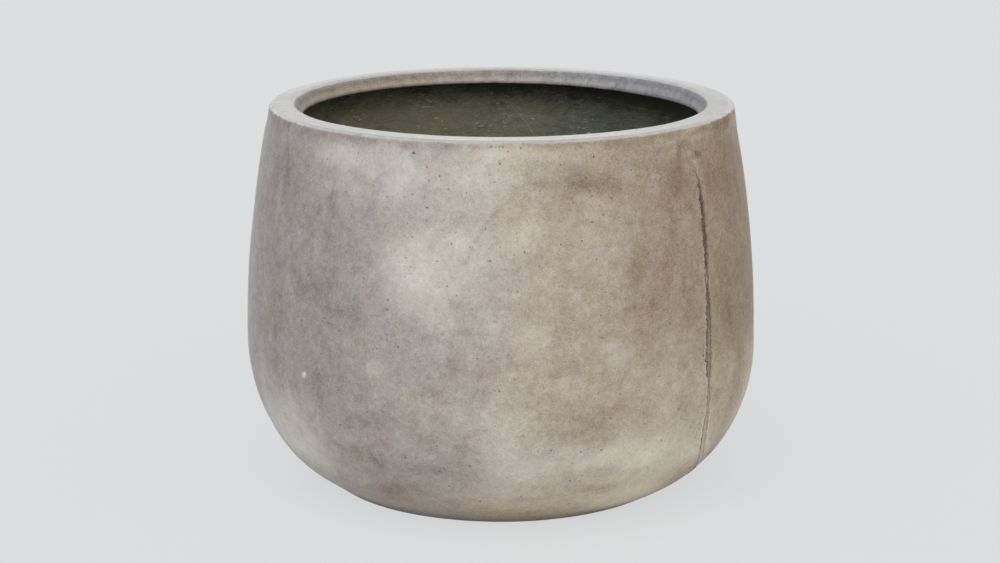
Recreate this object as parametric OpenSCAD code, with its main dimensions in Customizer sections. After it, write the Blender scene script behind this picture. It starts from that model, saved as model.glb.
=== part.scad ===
// Bowl planter of fibre-reinforced concrete, cast in two half shells.
//
// The half shells are alike and meet along two seams, pointed with mortar outside.
// Each seam runs straight down and bends off to one side near the ground. A cast
// rim sits inside the shells' top edge, and a dark glass-fibre lining inside ties
// them together. A sleeve through the base takes a rubber plug that lifts out for
// drainage. Millimetres, +Z up, standing on Z = 0, front at -Y.

/* [Bowl] */
// Diameter at the widest point
belly_d = 600; // [540:1:680]
// Height of the widest point above the ground
belly_h = 166; // [130:1:190]
// Height from the ground to the top of the rim
bowl_h = 450; // [400:1:520]
// How far the wall draws in from the widest point to the top
draw_in = 30.5; // [20:0.5:45]
// How far the wall tucks in from the widest point to the ground, before the foot's rounding
tuck_in = 104.5; // [90:0.5:118]
// Rounding of the outer top edge
edge_r = 4.5; // [2:0.5:5.5]

/* [Walls] */
// Thickness of the concrete wall
shell_t = 6; // [6:0.5:10]
// Thickness of the concrete base over the recess
base_t = 8; // [6:0.5:14]
// Thickness of the glass-fibre lining
lining_t = 4; // [2:0.5:7]
// Thickness of the bond line round the lining, the rim and the mortar
bond_t = 0.05; // [0.05:0.05:0.2]
// Rounding between floor and wall inside the concrete
corner_r = 30; // [20:1:40]

/* [Rim] */
// Width of the rim's top, from the bowl's outer edge to the mouth
rim_w = 31; // [24:0.5:45]
// Depth of the rim below its top face
rim_h = 16; // [12:0.5:24]
// How far the lip slopes in from the mouth to its upright land
lip_run = 8.5; // [2:0.5:14]
// Height of the upright land at the foot of the lip
land_h = 5; // [4:0.5:8]
// Rounding of the rim's inner edges
lip_r = 1.8; // [1:0.1:2.5]

/* [Foot] */
// Height of the recess under the base
recess_h = 5; // [3:0.5:8]
// Diameter of the recess under the base
recess_d = 300; // [240:1:340]
// Rounding where the wall turns under onto the foot
foot_r = 11; // [8:0.5:14]
// Run of the slope at the edge of the recess
recess_slope = 6; // [2:0.5:10]

/* [Seam] */
// Angle of the front seam, to the right of the front
seam_turn = 51; // [0:0.5:90]
// Height at which the seams start to bend off
seam_bend_h = 146; // [120:1:160]
// Radius of the bend
seam_bend_r = 115; // [80:1:140]
// Angle by which the seams bend off
seam_bend = 45; // [10:1:50]
// Width of the mortar joint
seam_w = 8; // [4:0.5:12]
// Depth of the mortar joint
seam_depth = 3.2; // [2:0.1:4]
// How far the mortar lies below the wall's face
mortar_sunk = 0.8; // [0.2:0.1:1.5]
// Distance from the rim's top face down to the end of the open joint
seam_gap_top = 58; // [42:1:90]
// Height of the joint's lower end above the ground
seam_foot = 7; // [5:0.5:20]
// Diameter of the filled mould-pin hole above each joint
pin_d = 8; // [5:0.5:10]
// Depth of the mould-pin hole
pin_depth = 4; // [2:0.5:4.5]
// Distance from the rim's top face down to the pin hole
pin_gap_top = 32; // [22:1:50]
// How far the pin hole's fill lies below the wall's face
pin_sunk = 0.4; // [0.2:0.1:1]
// Gap left round the fill by its shrinking
pin_gap = 0.2; // [0.1:0.05:0.4]

/* [Drain] */
// Bore of the drain sleeve
drain_d = 38; // [24:1:60]
// Wall of the drain sleeve
sleeve_t = 2.5; // [2:0.5:5]
// Width of the sleeve's flange beyond its wall
flange_w = 8; // [5:0.5:14]
// Thickness of the sleeve's flange
flange_t = 2; // [1.5:0.5:4]
// Length of the plug inside the sleeve
plug_len = 14; // [11:1:18]
// Narrowing of the plug's diameter from the ribs to the tip
plug_taper = 2.4; // [0.5:0.1:5]
// Radial clearance between the plug's ribs and the sleeve
plug_gap = 0.15; // [0.1:0.05:0.5]
// Height of one sealing rib, and of the plain stem between two
rib_h = 2.4; // [1:0.1:2.6]
// How far a sealing rib stands out of the stem
rib_out = 0.6; // [0.3:0.1:1.5]
// Thickness of the plug's cap
cap_t = 4; // [3:0.5:8]
// Width of the plug's cap beyond the bore
cap_w = 6; // [4:0.5:10]
// Width of the plug's grip
grip_w = 26; // [16:1:34]
// Thickness of the plug's grip
grip_t = 7; // [4:0.5:10]
// Height of the plug's grip above its cap
grip_h = 12; // [8:1:16]

/* [Hidden] */
$fn = 96;

concrete = [0.68, 0.65, 0.60];
rim_concrete = [0.77, 0.76, 0.75];
mortar = [0.50, 0.47, 0.42];
lining_resin = [0.20, 0.20, 0.17];
sleeve_grey = [0.30, 0.31, 0.30];
plug_rubber = [0.08, 0.08, 0.08];

belly_r = belly_d / 2;
rim_r = belly_r - draw_in;
mouth_r = rim_r - rim_w;
throat_r = mouth_r - lip_run;
rim_foot = bowl_h - rim_h;        // underside of the rim
floor_z = recess_h + base_t;      // top of the concrete base
lining_in = shell_t + bond_t;     // inset of the lining's outer face from the bowl's outside
hollow_in = lining_in + lining_t; // inset of the planting hollow
hollow_z = floor_z + bond_t + lining_t;

// Both of the wall's curves start upright at the widest point, one up to the rim, one down to the ground
upper_r = arc_radius(draw_in, bowl_h - belly_h);
lower_r = arc_radius(tuck_in, belly_h);
upper_c = [belly_r - upper_r, belly_h];
lower_c = [belly_r - lower_r, belly_h];

bore_r = drain_d / 2;
sleeve_r = bore_r + sleeve_t;
flange_r = sleeve_r + flange_w;
seat_z = hollow_z + flange_t;     // face that the plug's cap sits on
seat_gap = 0.3;                   // play between cap and seat
rib_count = 2;
past = 1;                         // how far cutters reach past what they cut

// Radius of an arc that starts upright and moves in by run over a height of rise
function arc_radius(run, rise) = (run ^ 2 + rise ^ 2) / (2 * run);

// Points on an arc of n steps, from angle a to angle b
function arc(c, r, a, b, n) =
    [for (i = [0:n]) let (t = a + (b - a) * i / n) [c[0] + r * cos(t), c[1] + r * sin(t)]];

function reversed(list) = [for (i = [len(list) - 1:-1:0]) list[i]];

// Angle of the wall's curve at height z, with the wall's face moved in by inset
function wall_angle(inset, z) =
    z < belly_h ? asin((z - belly_h) / (lower_r - inset))
                : asin((z - belly_h) / (upper_r - inset));

// The wall's curve between two heights below the widest point
function lower_wall(inset, za, zb, n) =
    arc(lower_c, lower_r - inset, wall_angle(inset, za), wall_angle(inset, zb), n);

// The wall's curve between two heights above the widest point
function upper_wall(inset, za, zb, n) =
    arc(upper_c, upper_r - inset, wall_angle(inset, za), wall_angle(inset, zb), n);

// Centre of the rounding r between a floor at height z and the lower wall
function corner_centre(inset, z, r) =
    [lower_c[0] + sqrt((lower_r - inset - r) ^ 2 - (belly_h - z - r) ^ 2), z + r];

// Floor corner and lower wall, from the floor up to the widest point
function lower_outline(inset, z, r) =
    let (c = corner_centre(inset, z, r),
         turn = atan2(c[1] - belly_h, c[0] - lower_c[0]))
    concat(arc(c, r, -90, turn, 6), arc(lower_c, lower_r - inset, turn, 0, 20));

// Outside of the bowl, from the foot to the rounded top edge
function outer_outline() =
    let (z = bowl_h - edge_r,
         r = upper_c[0] + sqrt((upper_r - edge_r) ^ 2 - (z - belly_h) ^ 2),
         turn = atan2(z - belly_h, r - upper_c[0]))
    concat(lower_outline(0, 0, foot_r),
           arc(upper_c, upper_r, 0, turn, 12),
           arc([r, z], edge_r, turn, 90, 6));

// Upright face inside the wall, from floor z to the underside of the rim
function inner_outline(inset, z, r) =
    concat(lower_outline(inset, z, r), upper_wall(inset, belly_h, rim_foot, 11));

// The wall's inner face behind the rim
function rim_seat(inset) = upper_wall(inset, rim_foot, bowl_h, 2);

// Points of a seam's line as seen from outside, moved to the right by dy
function seam_line(dy) =
    let (c = [seam_bend_r, seam_bend_h],
         r = seam_bend_r - dy,
         low = c - r * [cos(seam_bend), sin(seam_bend)],
         drop = low[1] + past)
    concat([[dy, bowl_h + past]],
           arc(c, r, 180, 180 + seam_bend, 8),
           [low + drop * [tan(seam_bend), -1]]);

// The concrete bowl in one: base with its recess, wall and rounded top edge
module bowl() {
    recess_r = recess_d / 2;
    rotate_extrude()
        polygon(concat(
            [[sleeve_r, recess_h], [recess_r - recess_slope, recess_h], [recess_r, 0]],
            outer_outline(),
            reversed(concat(inner_outline(shell_t, floor_z, corner_r), rim_seat(shell_t))),
            [[sleeve_r, floor_z]]));
}

// The part of its children that lies in the wall's skin, between two insets
module in_skin(inset_a, inset_b) {
    top = bowl_h - edge_r;
    intersection() {
        rotate_extrude()
            polygon(concat(
                lower_wall(inset_a, seam_foot, belly_h, 16),
                upper_wall(inset_a, belly_h, top, 10),
                reversed(upper_wall(inset_b, belly_h, top, 10)),
                reversed(lower_wall(inset_b, seam_foot, belly_h, 16))));
        children();
    }
}

// Block on the planter's +X side, between two lines of points drawn as seen from outside
module seam_block(left, right) {
    rotate([90, 0, 90])
        linear_extrude(belly_r + past)
            polygon(concat(left, reversed(right)));
}

// Upright line beside the planter, on its left or its right
function beside(side) = [for (z = [bowl_h + past, -past]) [side * (belly_r + past), z]];

// Space that one half shell may fill
module half_space() {
    seam_block(beside(-1), seam_line(0));
    rotate([0, 0, 180]) seam_block(seam_line(0), beside(1));
}

// Outline of one mortar joint, drawn in by gap at both sides
module joint_slot(gap = 0) {
    half_w = seam_w / 2 - gap;
    intersection() {
        seam_block(seam_line(-half_w), seam_line(half_w));
        cylinder(r = belly_r + past, h = bowl_h - seam_gap_top);
    }
}

// Outline of the mould-pin hole above the joint, drawn in by gap all round
module pin_hole(gap = 0) {
    translate([0, 0, bowl_h - pin_gap_top])
        rotate([0, 90, 0])
            cylinder(r = pin_d / 2 - gap, h = belly_r + past);
}

// Both joints and both pin holes, as cut from the outside
module seam_cuts() {
    for (side = [0, 180])
        rotate([0, 0, side]) {
            in_skin(-past, seam_depth) joint_slot();
            in_skin(-past, pin_depth) pin_hole();
        }
}

// One of the two half shells, which both come from the same mould
module half_shell() {
    color(concrete)
        intersection() {
            difference() {
                bowl();
                seam_cuts();
            }
            half_space();
        }
}

// Turns the front seam from +X to its place on the planter
module on_seam() {
    rotate([0, 0, seam_turn - 90]) children();
}

// The same for the seam on the far side
module on_back_seam() {
    on_seam() rotate([0, 0, 180]) children();
}

module front_shell() {
    on_seam() half_shell();
}

module back_shell() {
    on_back_seam() half_shell();
}

// Cast rim between the shells' top edge and the mouth, with a sloping lip and an upright land
module rim_ring() {
    slope = atan2(rim_h - land_h, lip_run);
    color(rim_concrete)
        rotate_extrude()
            polygon(concat(
                rim_seat(lining_in),
                arc([mouth_r + lip_r / tan((180 - slope) / 2), bowl_h - lip_r],
                    lip_r, 90, 90 + slope, 5),
                [[throat_r, rim_foot + land_h]],
                arc([throat_r + lip_r, rim_foot + lip_r], lip_r, 180, 270, 5)));
}

// Glass-fibre and resin lining, from the drain up to the underside of the rim
module glass_lining() {
    color(lining_resin)
        rotate_extrude()
            polygon(concat(
                [[sleeve_r, hollow_z - lining_t]],
                inner_outline(lining_in, hollow_z - lining_t, corner_r),
                reversed(inner_outline(hollow_in, hollow_z, corner_r - lining_t)),
                [[sleeve_r, hollow_z]]));
}

module seam_mortar() {
    color(mortar) in_skin(mortar_sunk, seam_depth - bond_t) joint_slot(bond_t);
}

module pin_fill() {
    color(mortar) in_skin(pin_sunk, pin_depth - pin_gap) pin_hole(pin_gap);
}

module front_seam_mortar() {
    on_seam() seam_mortar();
}

module back_seam_mortar() {
    on_back_seam() seam_mortar();
}

module front_pin_fill() {
    on_seam() pin_fill();
}

module back_pin_fill() {
    on_back_seam() pin_fill();
}

// Flanged tube that lines the drain hole, with a lead for the plug
module drain_sleeve() {
    lead = sleeve_t / 2;
    bevel = flange_t / 2;
    color(sleeve_grey)
        rotate_extrude()
            polygon([
                [bore_r, recess_h], [sleeve_r, recess_h], [sleeve_r, hollow_z],
                [flange_r, hollow_z], [flange_r, seat_z - bevel], [flange_r - bevel, seat_z],
                [bore_r + lead, seat_z], [bore_r, seat_z - lead]]);
}

// Rubber plug: tapered stem with sealing ribs, domed cap and a grip to pull it by
module drain_plug() {
    cap_z = seat_z + seat_gap;
    cap_r = bore_r + cap_w;
    tip_z = cap_z - plug_len;
    rib_r = bore_r - plug_gap;
    stem_r = rib_r - rib_out;
    pitch = 2 * rib_h;
    ribs = [
        for (i = [0:rib_count - 1])
            let (z = cap_z - rib_h / 2 - i * pitch)
            each [[stem_r, z], [rib_r, z - rib_h / 3], [rib_r, z - rib_h * 2 / 3], [stem_r, z - rib_h]]
    ];
    color(plug_rubber) {
        rotate_extrude()
            polygon(concat(
                [[0, tip_z], [0, cap_z + cap_t]],
                arc([cap_r - cap_t, cap_z], cap_t, 90, 0, 6),
                [[stem_r, cap_z]],
                ribs,
                [[stem_r, cap_z - rib_count * pitch], [stem_r - plug_taper / 2, tip_z]]));
        translate([0, 0, cap_z + cap_t / 2]) plug_grip(cap_t / 2 + grip_h);
    }
}

// Upright tab with a rounded top
module plug_grip(rise) {
    round_r = grip_h / 2;
    round_z = rise - round_r;
    translate([0, grip_t / 2, 0])
        rotate([90, 0, 0])
            linear_extrude(grip_t) {
                translate([-grip_w / 2, 0]) square([grip_w, round_z]);
                translate([round_r - grip_w / 2, 0]) square([grip_w - 2 * round_r, rise]);
                for (side = [-1, 1])
                    translate([side * (grip_w / 2 - round_r), round_z]) circle(r = round_r);
            }
}

front_shell();
back_shell();
rim_ring();
glass_lining();
front_seam_mortar();
back_seam_mortar();
front_pin_fill();
back_pin_fill();
drain_sleeve();
drain_plug();
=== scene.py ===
import itertools
import math

import bpy
import numpy as np
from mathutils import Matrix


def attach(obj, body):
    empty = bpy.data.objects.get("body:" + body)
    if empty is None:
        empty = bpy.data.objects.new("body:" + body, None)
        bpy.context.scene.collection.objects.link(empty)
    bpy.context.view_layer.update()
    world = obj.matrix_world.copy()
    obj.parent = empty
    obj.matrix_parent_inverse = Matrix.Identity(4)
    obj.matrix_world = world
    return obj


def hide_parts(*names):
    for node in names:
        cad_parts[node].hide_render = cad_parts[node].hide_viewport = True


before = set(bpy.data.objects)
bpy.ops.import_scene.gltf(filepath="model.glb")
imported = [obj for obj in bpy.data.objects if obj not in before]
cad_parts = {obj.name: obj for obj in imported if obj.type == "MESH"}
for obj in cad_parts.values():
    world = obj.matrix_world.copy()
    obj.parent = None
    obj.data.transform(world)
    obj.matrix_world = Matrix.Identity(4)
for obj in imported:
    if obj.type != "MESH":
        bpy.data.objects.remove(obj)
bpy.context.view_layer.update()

MM = 0.001
SPLIT = 6  # steps that a cell is split into where the surface has fine relief
RING_EVERY = 4  # columns of a ring's detailed side to one of its plain side
SHARP_ANGLE = 50  # degrees, above which a corner is left sharp


# ---------------------------------------------------------------- sizes, as in the CAD
BELLY_R = 300.0
BELLY_H = 166.0
BOWL_H = 450.0
DRAW_IN = 30.5  # from the belly in to the top edge
TUCK_IN = 104.5  # from the belly in to where the lower curve reaches the ground
EDGE_R = 4.5  # rounding of the top edge
FOOT_R = 11.0  # rounding of the foot
SHELL_T = 6.0
BASE_T = 8.0
LINING_T = 4.0
BOND_T = 0.05  # of the bond line between the pieces
CORNER_R = 30.0  # rounding inside, between floor and wall
RIM_W = 31.0
RIM_H = 16.0
LIP_RUN = 8.5  # how far the lip slopes in
LAND_H = 5.0  # height of the upright land at the foot of the lip
LIP_R = 1.8  # rounding under the land
MOUTH_ROUNDING = 8.0  # of the mouth's edge, which was rubbed by hand
RECESS_H = 5.0
RECESS_R = 150.0
RECESS_SLOPE = 6.0
SLEEVE_R = 21.5
SEAM_TURN = 51.0  # azimuth of the front seam
SEAM_BEND_H = 146.0  # height below which a seam bends off to the right
SEAM_BEND_R = 115.0
SEAM_BEND = 45.0  # degrees
SEAM_TOP = 392.0
SEAM_FOOT = 7.0
SEAM_DEPTH = 3.2
PIN_H = 418.0
PIN_R = 4.0
PIN_DEPTH = 4.0

UPPER_R = (DRAW_IN**2 + (BOWL_H - BELLY_H) ** 2) / (2 * DRAW_IN)
LOWER_R = (TUCK_IN**2 + BELLY_H**2) / (2 * TUCK_IN)
RIM_R = BELLY_R - DRAW_IN
MOUTH_R = RIM_R - RIM_W
THROAT_R = MOUTH_R - LIP_RUN
RIM_FOOT = BOWL_H - RIM_H
FLOOR_Z = RECESS_H + BASE_T
LINING_Z = FLOOR_Z + BOND_T
HOLLOW_Z = LINING_Z + LINING_T
SEAT_INSET = SHELL_T + BOND_T  # from the wall's face in to the seat of the rim and the lining


# ---------------------------------------------------------------- curves of the section
def wall_r(z, inset=0.0):
    """Radius of the wall's curve at height z, moved in by inset."""
    rise = np.asarray(z, float) - BELLY_H
    upper = BELLY_R - UPPER_R + np.sqrt(np.maximum((UPPER_R - inset) ** 2 - rise**2, 0))
    lower = BELLY_R - LOWER_R + np.sqrt(np.maximum((LOWER_R - inset) ** 2 - rise**2, 0))
    return np.where(rise > 0, upper, lower)


def arc(centre, radius, start, end, step):
    """Points on an arc between two angles, about step apart."""
    count = max(3, round(abs(math.radians(end - start)) * radius / step))
    turn = np.radians(np.linspace(start, end, count + 1))
    return np.column_stack([centre[0] + radius * np.cos(turn), centre[1] + radius * np.sin(turn)])


def line(start, end, step):
    """Points on a straight line, about step apart."""
    count = max(1, round(math.dist(start, end) / step))
    return np.linspace(start, end, count + 1)


def lower_line(inset, floor, rounding, step, rounding_step):
    """Rounding from a floor into the lower wall, and the lower wall up to the widest point."""
    centre_x = BELLY_R - LOWER_R
    reach = LOWER_R - inset - rounding
    centre = (centre_x + math.sqrt(reach**2 - (BELLY_H - floor - rounding) ** 2), floor + rounding)
    turn = math.degrees(math.atan2(centre[1] - BELLY_H, centre[0] - centre_x))
    return [
        arc(centre, rounding, -90, turn, rounding_step),
        arc((centre_x, BELLY_H), LOWER_R - inset, turn, 0, step),
    ]


def upper_line(inset, top, step):
    """The upper wall, from the widest point to the height top."""
    turn = math.degrees(math.asin((top - BELLY_H) / (UPPER_R - inset)))
    return arc((BELLY_R - UPPER_R, BELLY_H), UPPER_R - inset, 0, turn, step)


class Outline:
    """Rows of (radius, height) points that a sheet is laid along, with the direction of its face."""

    def __init__(self, *parts, side=1):
        points = np.vstack(parts)
        keep = np.append(True, np.hypot(*np.diff(points, axis=0).T) > 1e-6)
        self.points = points[keep]
        ahead = np.diff(self.points, axis=0)
        ahead /= np.hypot(*ahead.T)[:, None]
        along = np.vstack([ahead[:1], ahead[:-1] + ahead[1:], ahead[-1:]])
        along /= np.hypot(*along.T)[:, None]
        self.normals = side * np.column_stack([along[:, 1], -along[:, 0]])
        self.rows = len(self.points) - 1

    def at(self, row):
        """Radius, height and face direction at each of these rows, which may lie between two."""
        index = np.arange(self.rows + 1)
        return [np.interp(row, index, column) for column in (*self.points.T, *self.normals.T)]


# ---------------------------------------------------------------- lumps and streaks
def noise(points, size, seed):
    """Smooth lumps from -1 to 1 about size across, at points in millimetres.

    Lumps that shouldn't run together each have a seed of their own.
    """
    place = points / size + 31.7 * seed
    cell = np.floor(place).astype(np.int64)
    part = place - cell
    part = part * part * (3 - 2 * part)
    total = np.zeros(len(points))
    for corner in itertools.product((0, 1), repeat=3):
        x, y, z = (cell + corner).T
        mixed = (x * 374761393 + y * 668265263 + z * 1274126177) & 0xFFFFFFFF
        mixed = ((mixed ^ (mixed >> 13)) * 1103515245) & 0xFFFFFFFF
        mixed = ((mixed ^ (mixed >> 15)) * 2246822519) & 0xFFFFFFFF
        share = np.prod(np.where(corner, part, 1 - part), axis=1)
        total += share * ((mixed >> 8) / 0xFFFFFF)
    return 2 * total - 1


def layered(points, size, seed, layers=3):
    """Lumps with finer lumps on them."""
    total = sum(noise(points, size / 2**k, seed + k) / 2**k for k in range(layers))
    return total / (2 - 2.0 ** (1 - layers))


def ease(value, low, high):
    """0 below low, 1 above high, and a smooth step between."""
    t = np.clip((value - low) / (high - low), 0, 1)
    return t * t * (3 - 2 * t)


def from_front(azimuth):
    """The same azimuth, from -180 to 180 degrees."""
    return (azimuth + 180) % 360 - 180


def stain_and_light_values(tone, warmth=0.0, hollow_shade_and_smudge=0.0, painted_top_light_or_slurry=0.0):
    """What a finish reads at each point: how pale and warm it is, its painted shade in hollows with the
    damp smudge, and its painted top light, which on the mortar is its slurry.
    """
    return np.column_stack(np.broadcast_arrays(tone, warmth, hollow_shade_and_smudge, painted_top_light_or_slurry))


# ---------------------------------------------------------------- the seams
# Height, and how far the front seam's left and right lips stand from its line
FRONT_LIPS = np.array([
    (7, 6, 2), (45, 9, 1), (75, 6.6, 2), (90, 5.2, 4.4), (110, 4, 5.6), (130, 1, 5.2), (150, 1.6, 3.6),
    (160, 2.4, 2.4), (175, 4.6, 5.4), (190, 5.2, 5.8), (220, 4.6, 5.8), (250, 4.5, 5.6), (268, 3, 3.4),
    (282, 4, 3.8), (290, 3, 2.2), (298, 3.4, 4.4), (320, 3.4, 5.8), (350, 2.8, 6.0), (368, 2.4, 5.6),
    (380, 0.8, 4.4), (388, 0.3, 2.8), (392, 0.3, 0.3),
])  # fmt: skip
# Height, depth of the mortar's middle, of its left and right cracks, and its tone in the front seam
FRONT_POINTING = np.array([
    (7, 0.2, 0.7, 0.1, 1.3), (60, 0.2, 0.9, 0.1, 1.3), (90, 0.3, 1.1, 0.2, 1.15),
    (110, 0.7, 1.3, 0.2, 0.8), (140, 0.5, 1.0, 0.2, 0.9), (158, 0.6, 1.0, 0.2, 0.8),
    (170, 0.9, 1.5, 1.0, 0.5), (195, 0.7, 2.0, 1.9, 0.6), (225, 1.0, 2.0, 1.8, 0.45),
    (250, 1.6, 1.4, 1.0, 0.25), (272, 2.0, 1.0, 0.8, 0.2), (280, 1.0, 2.0, 1.6, 0.8),
    (288, 0.9, 2.0, 1.8, 0.9), (294, 1.8, 1.0, 0.8, 0.1), (340, 1.5, 1.2, 1.0, 0.0),
    (368, 1.4, 1.2, 1.0, 0.0), (380, 1.3, 1.0, 1.0, 0.1), (387, 0.9, 0.9, 0.8, 0.4),
    (392, 0.2, 0.3, 0.3, 1.0),
])  # fmt: skip
# The same for the seam at the back, which is pointed more evenly
BACK_LIPS = np.array([(7, 4, 4), (150, 4.4, 3.6), (300, 3.4, 4.2), (392, 3, 3)])
BACK_POINTING = np.array([
    (7, 0.4, 0.6, 0.6, 0.9), (160, 0.7, 1.0, 1.2, 0.7), (240, 1.5, 1.2, 1.0, 0.3),
    (330, 1.2, 1.2, 1.0, 0.4), (392, 0.3, 0.5, 0.5, 0.9),
])  # fmt: skip


def seam_run(z):
    """How far a seam's line has bent off to the right at height z."""
    low = np.clip(SEAM_BEND_H - np.asarray(z, float), 0, None)
    turn = math.radians(SEAM_BEND)
    bend = np.minimum(low, SEAM_BEND_R * math.sin(turn))
    return SEAM_BEND_R - np.sqrt(SEAM_BEND_R**2 - bend**2) + (low - bend) * math.tan(turn)


def seam_swing(r, z):
    """The same as an angle in degrees, at the radius r."""
    return np.degrees(np.arcsin(np.minimum(seam_run(z), 0.67 * r) / r))


class Seam:
    """One of the two mortar seams: where its line runs, and the shape of its lips and pointing."""

    def __init__(self, azimuth, lip_table, pointing):
        self.azimuth = azimuth
        self.lip_table = lip_table
        self.pointing = pointing

    def lips(self, z):
        """Distances of the ragged left and right lips from the seam's line at height z."""
        where = np.column_stack([z, 0 * z, 0 * z])
        heights = self.lip_table[:, 0]
        both = []
        for side, seed in ((1, 41), (2, 47)):
            crumbled = 2.1 * noise(where, 2.6, seed + 1) * ease(z, 120, 190)
            ragged = noise(where, 6.5, seed) + crumbled
            both.append(np.maximum(np.interp(z, heights, self.lip_table[:, side]) + ragged, 0.3))
        return both


FRONT_SEAM = Seam(SEAM_TURN, FRONT_LIPS, FRONT_POINTING)
BACK_SEAM = Seam(SEAM_TURN + 180, BACK_LIPS, BACK_POINTING)


# ---------------------------------------------------------------- meshes
def around(r, z, azimuth):
    """Points at a radius, height and azimuth."""
    turn = np.radians(azimuth)
    return np.column_stack([r * np.sin(turn), -r * np.cos(turn), z])


class Grid:
    """Cells of a sheet, of which the fine ones are split. Corners are counted in split steps."""

    def __init__(self, columns, rows, fine=None, ring=False):
        self.columns = columns
        self.rows = rows
        self.fine = np.zeros((columns, rows), bool) if fine is None else fine
        self.ring = ring

    def is_fine(self, i, j):
        """Whether the cell is there and is split."""
        if self.ring:
            i %= self.columns
        return 0 <= i < self.columns and 0 <= j < self.rows and self.fine[i, j]

    def corner(self, i, j):
        """A corner's own key, which is the same on both sides of a ring's join."""
        return (i % (self.columns * SPLIT) if self.ring else i, j)

    def edge(self, i, j, di, dj, cells):
        """Corners along one side of a cell, with the split ones if a cell beside it is fine."""
        step = 1 if any(self.is_fine(*cell) for cell in cells) else SPLIT
        return [self.corner(i * SPLIT + di * t, j * SPLIT + dj * t) for t in range(0, SPLIT, step)]

    def cell(self, i, j):
        """Outline of a cell that isn't split, counter-clockwise as seen from outside."""
        return (
            self.edge(i, j, 1, 0, [(i, j), (i, j - 1)])
            + self.edge(i + 1, j, 0, 1, [(i, j), (i + 1, j)])
            + self.edge(i + 1, j + 1, -1, 0, [(i, j), (i, j + 1)])
            + self.edge(i, j + 1, 0, -1, [(i, j), (i - 1, j)])
        )

    def faces(self):
        """Corners of each face, with the small faces of the cells that are split."""
        for i, j in itertools.product(range(self.columns), range(self.rows)):
            if not self.fine[i, j]:
                yield self.cell(i, j)
                continue
            for a, b in itertools.product(range(SPLIT), repeat=2):
                x = i * SPLIT + a
                y = j * SPLIT + b
                yield [self.corner(x + p, y + q) for p, q in ((0, 0), (1, 0), (1, 1), (0, 1))]

    def border(self, side, start, end):
        """Corners along a stretch of the border, both ends included, in the cells' own direction."""
        last_column = self.columns - 1
        last_row = self.rows - 1
        path = []
        for k in range(start, end):
            if side == "bottom":
                path += self.edge(k, 0, 1, 0, [(k, 0)])
            elif side == "right":
                path += self.edge(self.columns, k, 0, 1, [(last_column, k)])
            elif side == "top":
                path += self.edge(self.columns - k, self.rows, -1, 0, [(last_column - k, last_row)])
            else:
                path += self.edge(0, self.rows - k, 0, -1, [(0, last_row - k)])
        finish = {
            "bottom": (end, 0),
            "right": (self.columns, end),
            "top": (self.columns - end, self.rows),
            "left": (0, self.rows - end),
        }[side]
        return path + [self.corner(finish[0] * SPLIT, finish[1] * SPLIT)]


def solid(name, front, back, front_place, back_place, flip=False):
    """Closed piece between a detailed front sheet and a plainer back sheet.

    front_place and back_place turn arrays of columns and rows into points. front_place also gives
    each point's marks: tone, warmth, painted shade in hollows, and painted top light or the mortar's
    slurry, which the finishes read.
    """
    numbers = {}
    faces = []

    def number(corner, sheet):
        return numbers.setdefault((*corner, sheet), len(numbers))

    for face in front.faces():
        faces.append([number(c, 0) for c in face])
    for face in back.faces():
        faces.append([number(c, 1) for c in reversed(face)])
    for side in ("bottom", "top") if front.ring else ("bottom", "right", "top", "left"):
        upright = side in ("left", "right")
        count = back.rows if upright else back.columns
        length = front.rows if upright else front.columns
        for k in range(count):
            outer = front.border(side, round(k * length / count), round((k + 1) * length / count))
            inner = back.border(side, k, k + 1)
            faces.append([number(c, 0) for c in reversed(outer)] + [number(c, 1) for c in inner])
    keys = np.array(list(numbers))
    is_front = keys[:, 2] == 0
    points = np.empty((len(keys), 3))
    stain_and_light = np.tile((0.5, 0.5, 0.0, 0.0), (len(keys), 1))
    column, row = keys[:, 0] / SPLIT, keys[:, 1] / SPLIT
    points[is_front], stain_and_light[is_front] = front_place(column[is_front], row[is_front])
    points[~is_front] = back_place(column[~is_front], row[~is_front])
    if flip:
        faces = [face[::-1] for face in faces]
    return piece(name, points, faces, stain_and_light)


def piece(name, points, faces, stain_and_light):
    """A smooth-shaded object from points in millimetres, with its attribute of marks, painted light and
    painted shade.
    """
    mesh = bpy.data.meshes.new(name)
    mesh.from_pydata((points * MM).tolist(), [], faces)
    colours = mesh.attributes.new("stain_and_light", "FLOAT_COLOR", "POINT")
    colours.data.foreach_set("color", stain_and_light.astype(np.float32).ravel())
    mesh.shade_smooth()
    mesh.set_sharp_from_angle(angle=math.radians(SHARP_ANGLE))
    made = bpy.data.objects.new(name, mesh)
    bpy.context.scene.collection.objects.link(made)
    return made


def ring(name, outline, inner, columns, front_place):
    """Closed ring between a detailed outline and a plainer inner one, which has fewer columns."""
    inner_columns = columns // RING_EVERY

    def back_place(column, row):
        r, z, _, _ = inner.at(row)
        return around(r, z, column / inner_columns * 360)

    front = Grid(columns, outline.rows, ring=True)
    back = Grid(inner_columns, inner.rows, ring=True)
    return solid(name, front, back, front_place, back_place, flip=True)
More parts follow.
